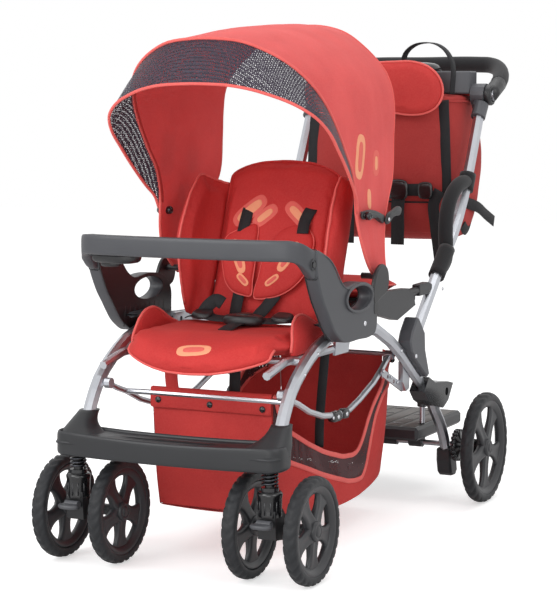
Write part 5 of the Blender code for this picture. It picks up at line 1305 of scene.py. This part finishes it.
stations = [0.158, 0.164, 0.175, 0.19, 0.21, 0.235, 0.26, 0.29, 0.32, 0.35, 0.38, 0.41, 0.44, 0.465, 0.485,
            0.5, 0.5135, 0.526, 0.5385, 0.552, 0.57, 0.59, 0.615, 0.64, 0.665, 0.685, 0.697, 0.702]
levels = [0, 0.25, 0.5, 0.75, 1.0, 1.2, 1.4, 1.6, 1.8, 1.93, 2.0]
for tag, side in sides:
    net = [[basketPoint(side, y, drop) for y in stations] for drop in levels[:5]]
    gusset = [[basketPoint(side, y, drop) for y in stations] for drop in levels[4:]]
    for name, rows, finish, thick, deep in (("basketNet", net, maroonNet, basketShape["net"], 0.10),
                                            ("basketGusset", gusset, redCloth, basketShape["gusset"], 0.22)):
        piece = carry(sheetPiece(name + tag.upper(), rows, finish, thick), "front_frame")
        foldWithFrame(piece)
    for k, line in enumerate((0.0, 1.0)):
        edge = smoothLine([basketPoint(side * 1.004, y, line) for y in stations], 90)
        cord = sweepPiece("basketPiping%s%d" % (tag.upper(), k), edge, flatSection(*basketShape["piping"]),
                          pipingCloth, Vector((side, 0, 0)))
        carry(cord, "front_frame")
        foldWithFrame(cord)


def endPanel(name, y, lean):
    rows = []
    for drop in [0, 0.1, 0.2, 0.35, 0.5, 0.7, 0.9, 1.1, 1.3, 1.5, 1.7, 1.85, 2.0]:
        left, right = basketPoint(-1, y, drop), basketPoint(1, y, drop)
        row = []
        for k in range(15):
            c = k / 14
            p = left.lerp(right, c)
            bulge = math.sin(math.pi * c) * math.sin(math.pi * drop / 2.4)
            p.y += lean * (0.010 * bulge) + 0.0015 * noise.noise(Vector((p.x * 9, y, p.z * 12)))
            row.append(p)
        rows.append(row)
    return sheetPiece(name, rows, redCloth, basketShape["panel"])


frontPanel = endPanel("basketFront", basketShape["front"], -0.6)
rearWall = endPanel("basketRear", basketShape["rear"], 0.4)
rows = []
for y in stations:
    left, right = basketPoint(-1, y, 2.0), basketPoint(1, y, 2.0)
    rows.append([left.lerp(right, k / 12) + Vector((0, 0, -0.004 * math.sin(math.pi * k / 12)))
                 for k in range(13)])
basketFloor = sheetPiece("basketFloor", rows, redCloth, basketShape["panel"])
left, right = (basketPoint(side, basketShape["front"], 0) for side in (-1, 1))
fold = [left.lerp(right, k / 24) + Vector((0, -0.0060, 0)) for k in range(25)]
foldShape = [(0.004, 0.003), (-0.0010, 0.0015), (-0.0024, -0.004), (-0.0030, -0.02), (-0.0030, -0.032),
             (-0.0016, -0.038)]
rows = [[p + Vector((0, dy, dz)) for p in fold] for dy, dz in foldShape]
hem = sheetPiece("basketHemFold", rows, redCloth, basketShape["hem"])
snapProfile = [(0.0001, 0.0045), (0.0030, 0.0045), (0.0040, 0.0032), (0.0052, 0.0032), (0.0062, 0.0016),
               (0.0062, -0.002), (0.0001, -0.002)]
snaps = [turnedData(snapProfile, at(*place), facing, 20)
         for place, facing in (((-0.112, 0.1487, 0.3000), (0, -1, 0)), ((0.0, 0.1487, 0.2975), (0, -1, 0)),
                               ((0.112, 0.1487, 0.2960), (0, -1, 0)), ((0.146, 0.694, 0.324), (0.6, -1, 0)))]
carry(joinMeshes("basketSnaps", snaps, glossBlack), "front_frame")
straps = [strapData([at(-0.083, 0.150, 0.378), at(-0.083, 0.148, 0.355), at(-0.083, 0.150, 0.335),
                     at(-0.083, 0.1545, 0.318)], 0.028, (0, -1, 0))]
carry(joinMeshes("basketFrontStrap", straps, redCloth), "front_frame")
straps = [strapData([at(0.030, 0.196, 0.386), at(0.031, 0.194, 0.360), at(0.032, 0.190, 0.330),
                     at(0.033, 0.186, 0.300)], 0.024, (0, -1, 0)),
          strapData([at(0.158, 0.330, 0.388), at(0.150, 0.340, 0.350), at(0.140, 0.352, 0.300),
                     at(0.132, 0.360, 0.240), at(0.130, 0.362, 0.190)], 0.018, (0.4, -0.9, 0))]
carry(joinMeshes("basketStays", straps, webbingBlack), "front_frame")
for piece, size, stands in ((frontPanel, (0.30, 0.27), ["basket"]), (rearWall, (0.30, 0.30), ()),
                            (basketFloor, (0.60, 0.36), ()), (hem, (0.28, 0.06), ())):
    carry(piece, "front_frame", stands)
    foldWithFrame(piece)
print("basket hung")


# bag

# height, front, rear and half width of the bag, from its foot to its mouth
bagLevels = [(0.556, 0.995, 1.082, 0.150), (0.562, 0.972, 1.106, 0.166), (0.580, 0.956, 1.134, 0.175),
             (0.610, 0.944, 1.160, 0.180), (0.650, 0.938, 1.188, 0.181), (0.700, 0.934, 1.209, 0.181),
             (0.750, 0.934, 1.216, 0.180), (0.800, 0.938, 1.203, 0.179), (0.845, 0.944, 1.178, 0.177),
             (0.862, 0.950, 1.160, 0.176), (0.878, 0.954, 1.146, 0.175), (0.8845, 0.960, 1.136, 0.173),
             (0.8870, 0.972, 1.120, 0.166)]
bagShape = {"rings": 34, "around": 64, "sideCorner": 0.42, "endCorner": 0.55}


def bagSize(z):
    return [float(np.interp(z, [b[0] for b in bagLevels], [b[k] for b in bagLevels])) for k in (1, 2, 3)]


rows = []
for z in np.linspace(bagLevels[0][0], bagLevels[-1][0], bagShape["rings"]):
    front, rear, half = bagSize(z)
    row = []
    for k in range(bagShape["around"]):
        a = 2 * math.pi * k / bagShape["around"]
        cx, cy = squared(math.cos(a), bagShape["sideCorner"]), squared(math.sin(a), bagShape["endCorner"])
        y = (front + rear) / 2 + (rear - front) / 2 * cy
        p = at(half * cx, y, z)
        sagging = 0.0022 * noise.noise(p * 11) + 0.0012 * noise.noise(p * 30)
        row.append(at(half * cx * (1 - 0.012 + sagging * 3), y + sagging * (1 if cy > 0 else -1), z))
    rows.append(row)
# the bag's body in the darker cloth, which carries painted shade
bag = soften(showMesh("bagBody", [p for row in rows for p in row],
                      ringFaces(bagShape["rings"], bagShape["around"]), bagShadedCloth))
carry(bag, "rear_frame", ["bag"])
bagTree = surfaceOf(bag)


def bagRing(z, lift, count=96):
    front, rear, half = bagSize(z)
    made = []
    for k in range(count):
        a = 2 * math.pi * k / count
        cx, cy = squared(math.cos(a), bagShape["sideCorner"]), squared(math.sin(a), bagShape["endCorner"])
        made.append(at((half + lift) * cx, (front + rear) / 2 + ((rear - front) / 2 + lift) * cy, z))
    return made


carry(sweepPiece("bagPiping", bagRing(0.868, 0.0012), roundSection(0.0022, 8), bagShadedCloth, closed=True),
      "rear_frame")
# the bag's back rises behind the console
riseHalf = [(0.090, 0.9310), (0.140, 0.9255), (0.165, 0.9080), (0.1735, 0.8850), (0.1740, 0.8500)]
rise = leafData([(0.0, 0.932)] + riseHalf + [(0.0, 0.848)] + mirrored(riseHalf),
                lambda u, v, h: at(u, 1.150 - 0.4 * (v - 0.885) + h, v - 0.004), 0.010, 1.0, 80)
carry(joinMeshes("bagRise", [rise], bagShadedCloth), "rear_frame")
# bound corner patches at the bag's lower rear
corners = []
for side in (1, -1):
    path = []
    for y, z in ((1.030, 0.590), (1.050, 0.578), (1.075, 0.568), (1.100, 0.566), (1.125, 0.577)):
        hit = bagTree.find_nearest(at(side * 0.182, y, z))[0]
        path.append(hit + Vector((side * 0.0012, 0, -0.0008)))
    corners.append(strapData(path, 0.022, (side, 0, -0.5), 0.0020))
carry(joinMeshes("bagCorners", corners, webbingBlack), "rear_frame")
# domed lid of the console, lower towards its hinge
lidShape = {"level": 0.9368, "dome": 0.020, "slope": 0.034,
            "outline": [(-0.086, 1.030), (-0.080, 1.0235), (0.080, 1.0235), (0.086, 1.030), (0.086, 1.118),
                        (0.080, 1.1245), (-0.080, 1.1245), (-0.086, 1.118)]}


def lidPlace(u, v, h):
    return at(u, v, lidShape["level"] + h * min(1.0, max(0.08, (1.118 - v) / lidShape["slope"])))


domed = leafData(lidShape["outline"], lidPlace, lidShape["dome"], 0.02, 80)
barrel = turnedData([(0.0001, -0.060), (0.0028, -0.060), (0.0028, 0.060), (0.0001, 0.060)],
                    at(0, 1.127, 0.9393), (1, 0, 0), 14)
carry(joinMeshes("consoleLidDome", [domed, barrel], glossBlack), "console_lid",
      ["console_lid"])

flapHalf = [(0.0465, 0.9555), (0.0953, 0.9550), (0.1317, 0.9435), (0.1559, 0.9215), (0.1660, 0.8950),
            (0.1623, 0.8725), (0.1474, 0.8531), (0.1203, 0.8412), (0.0839, 0.8392), (0.0532, 0.8430)]
flapOutline = [(0.0, 0.9540)] + flapHalf + [(0.0, 0.8450)] + mirrored(flapHalf)


def flapPlace(u, v, h):
    return at(u, 0.924 + 0.006 * (u / 0.166) ** 2 + 0.10 * max(0.0, v - 0.90) - h, v)


flap = joinMeshes("bagFlap", [leafData(flapOutline, flapPlace, 0.010, 0.9)], redCloth)
carry(inflate(flap, 0.004, 0.0045), "rear_frame")
carry(sweepPiece("bagFlapPiping", leafEdge(flapOutline, flapPlace, 0.002), roundSection(0.0026, 8),
                 pipingCloth, closed=True), "rear_frame")


def bagFront(x, z, lift, spare=0.945):       # a point just off the bag's front, or at spare where it has none
    hit = bagTree.ray_cast(at(x, 0.80, z), Vector((0, 1, 0)))[0]
    return (hit if hit else at(x, spare, z)) + Vector((0, -lift, 0))


def frontStrap(points, width, lift=0.0022):
    return strapData([bagFront(x, z, lift) for x, z in points], width, (0, -1, 0), count=30)


outerTail = [(0.158, 0.934, 0.672), (0.146, 0.930, 0.645), (0.150, 0.928, 0.600), (0.158, 0.926, 0.550),
             (0.165, 0.924, 0.506)]
innerTail = [(0.062, 0.930, 0.662), (0.060, 0.927, 0.630), (0.061, 0.926, 0.590), (0.061, 0.925, 0.550)]
rearTail = [(0.178, 1.050, 0.640), (0.186, 1.100, 0.628), (0.184, 1.160, 0.608), (0.182, 1.222, 0.588)]
bagStraps = []
for side in (1, -1):
    bagStraps.append(frontStrap([(side * 0.146, 0.870), (side * 0.149, 0.84), (side * 0.152, 0.79),
                                 (side * 0.155, 0.73), (side * 0.157, 0.66)], 0.040))
    for line, width, facing in ((outerTail, 0.027, (0, -1, 0)), (innerTail, 0.032, (0, -1, 0)),
                                (rearTail, 0.026, (side, 0, 0))):
        bagStraps.append(strapData([at(side * x, y, z) for x, y, z in line], width, facing))
belt = [(-0.172, 0.674), (-0.12, 0.673), (-0.06, 0.672), (0.0, 0.672), (0.06, 0.672), (0.12, 0.673),
        (0.172, 0.676)]
bagStraps.append(frontStrap(belt, 0.027, 0.0030))
carryLoop = [(0.0397, 0.884), (0.0402, 0.950), (0.0500, 0.978), (0.0700, 0.9935), (0.0950, 0.9985),
             (0.1250, 0.9940), (0.1450, 0.9800), (0.1575, 0.9600), (0.1600, 0.884)]
bagStraps.append(sweepData(smoothLine([at(x, 1.0, z) for x, z in carryLoop], 40), flatSection(0.028, 0.0024),
                           [Vector((math.cos(a), 0, math.sin(a)))
                            for a in np.linspace(math.pi * 0.98, 0.02, 40)]))
carry(joinMeshes("bagWebbing", bagStraps, webbingBlack), "rear_frame")
slides = []
for side in (1, -1):
    for x, half, low, high, thick in ((0.060, 0.022, 0.655, 0.690, 0.006),
                                      (0.126, 0.014, 0.656, 0.688, 0.005)):
        left, right = side * x - half, side * x + half
        slides.append(leafData([(left, low), (right, low), (right, high), (left, high)],
                               lambda u, v, h: at(u, 0.9280 - h, v), thick, 0.3, 28))
carry(joinMeshes("bagBeltSlides", slides, glossBlack), "rear_frame")
pocketRows = [[bagFront(x, z, 0.0018, 0.95) for x in np.linspace(-0.150, 0.150, 21)]
              for z in np.linspace(0.575, 0.645, 8)]
carry(sheetPiece("bagPocket", pocketRows, bagShadedCloth, 0.0016), "rear_frame")
carry(sweepPiece("bagPocketHem", [p + Vector((0, -0.0012, 0)) for p in pocketRows[-1]],
                 roundSection(0.0018, 8), webbingBlack), "rear_frame")
print("bag hung")


# jump seat and platform trim

jumpShape = {"half": 0.166, "front": 0.506, "depth": 0.178, "level": 0.4865, "fill": 0.026, "cap": 0.006}
rows = []
for i in range(9):
    y = jumpShape["front"] + jumpShape["depth"] * i / 8
    z = jumpShape["level"] + 0.003 * math.sin(math.pi * i / 8)
    rows.append([at(jumpShape["half"] * (j - 8) / 8, y, z) for j in range(17)])
jumpPad = inflate(padPiece("jumpSeatCushion", rows, jumpShape["fill"], redCloth, 0.40), jumpShape["cap"])
carry(jumpPad, "rear_frame", ["jump_seat_pad"])
edge = smoothLine(rows[0] + [r[-1] for r in rows[1:-1]] + rows[-1][::-1] + [r[0] for r in rows[-2:0:-1]], 90,
                  closed=True)
edge = hugLine(edge, jumpPad, 0.0006, closed=True)
carry(sweepPiece("jumpSeatPiping", edge, roundSection(0.0024, 8), pipingCloth, closed=True), "rear_frame")

deckShape = {"ribs": 9, "apart": 0.036, "rib": (0.031, 0.0012), "slots": 4, "slot": (0.005, 0.0008)}
deck = []
for i in range(deckShape["ribs"]):
    x = deckShape["apart"] * (i - (deckShape["ribs"] - 1) / 2)
    deck.append(sweepData([at(x, 0.792, 0.1652), at(x, 0.9, 0.1654), at(x, 1.038, 0.1652)],
                          flatSection(*deckShape["rib"]), (0, 0, 1)))
carry(joinMeshes("deckRibs", deck, deckPlastic), "rear_frame")
slots = []
for i in range(deckShape["slots"]):
    for j in range(deckShape["slots"]):
        x, y = -0.108 + 2 * deckShape["apart"] * i, 0.820 + 0.062 * j
        slots.append(sweepData([at(x + dx, y, 0.1662) for dx in (-0.011, 0, 0.011)],
                               flatSection(*deckShape["slot"]), (0, 0, 1)))
carry(joinMeshes("deckSlots", slots, glossBlack), "rear_frame")

posts = [turnedData([(0.0062, 0.168), (0.0062, 0.206)], at(side * 0.158, 0.838, 0), (0, 0, 1), 20)
         for side in (1, -1)]
carry(joinMeshes("platformPosts", posts, tubeMetal), "rear_frame")
print("platform and jump seat trimmed")


# rivets, pins and link plates

rivets = {"front_frame": [((0.327, 0.446), 0.2438, 0.0052), ((0.235, 0.4180), 0.2155, 0.0034),
                          ((0.175, 0.404), 0.2155, 0.0034), ((0.118, 0.372), 0.2155, 0.0030)],
          "rear_frame": [((0.637, 0.343), 0.2246, 0.0048), ((0.796, 0.4695), 0.2205, 0.0040),
                         ((0.715, 0.2760), 0.2122, 0.0036), ((0.590, 0.3590), 0.2122, 0.0036),
                         ((0.537, 0.3230), 0.1950, 0.0042), ((0.575, 0.3060), 0.1950, 0.0032),
                         ((0.610, 0.2900), 0.1950, 0.0032), ((0.640, 0.2780), 0.1950, 0.0042)],
          "brace_front": [((0.300, 0.2625), 0.1902, 0.0038)],
          "brace_rear": [((0.372, 0.2640), 0.1902, 0.0038)]}
for body, places in rivets.items():
    heads = []
    for (y, z), x, radius in places:
        for side in (1, -1):
            heads.append(rivetData(at(side * x, y, z), (side, 0, 0), radius))
    carry(joinMeshes("rivets" + body.title().replace("_", ""), heads, rivetMetal), body)

# black elbow of the folding brace, one half on each arm
for name, y0, y1 in (("Front", 0.300, 0.336), ("Rear", 0.346, 0.372)):
    shells = []
    for side in (1, -1):
        outline = [(y0, 0.2700), ((y0 + y1) / 2, 0.2725), (y1, 0.2700), (y1 + 0.004, 0.2620), (y1, 0.2540),
                   ((y0 + y1) / 2, 0.2520), (y0, 0.2550), (y0 - 0.004, 0.2620)]
        shells.append(leafData(outline, lambda u, v, h: at(side * (0.1838 + h), u, v), 0.0085, 1.0, 36))
    carry(joinMeshes("elbowShell" + name, shells, glossBlack), "brace_" + name.lower())
for name, y in (("Front", 0.318), ("Rear", 0.358)):
    studs = [rivetData(at(side * 0.1926, y, 0.262), (side, 0, 0), 0.0045) for side in (1, -1)]
    carry(joinMeshes("elbowStuds" + name, studs, rivetMetal), "brace_" + name.lower())

# dark seam where the tray's end meets each armrest, and the armrest's moulded lines
seamShape = [(0.0115, 0.5500), (0.0115, 0.6010), (0.0080, 0.6035), (-0.0080, 0.6035), (-0.0115, 0.6010),
             (-0.0115, 0.5500), (-0.0080, 0.5478), (0.0080, 0.5478)]
seams = []
for side in (1, -1):
    ring = [at(side * (0.2305 + u), 0.1127, v) for u, v in seamShape]
    seams.append(sweepData(ring, roundSection(0.0008, 6), closed=True))
carry(joinMeshes("trayJointSeam", seams, glossBlack), "tray")
ribs = []
for side in (1, -1):
    for k in range(9):
        y = 0.205 + 0.019 * k
        ribs.append(sweepData([at(side * 0.2172, y - 0.006, 0.430), at(side * 0.2166, y - 0.004, 0.452),
                               at(side * 0.2166, y, 0.470)], roundSection(0.0012, 6)))
carry(joinMeshes("armrestInnerRibs", ribs, blackPlastic), "front_frame")
print("small parts fixed")
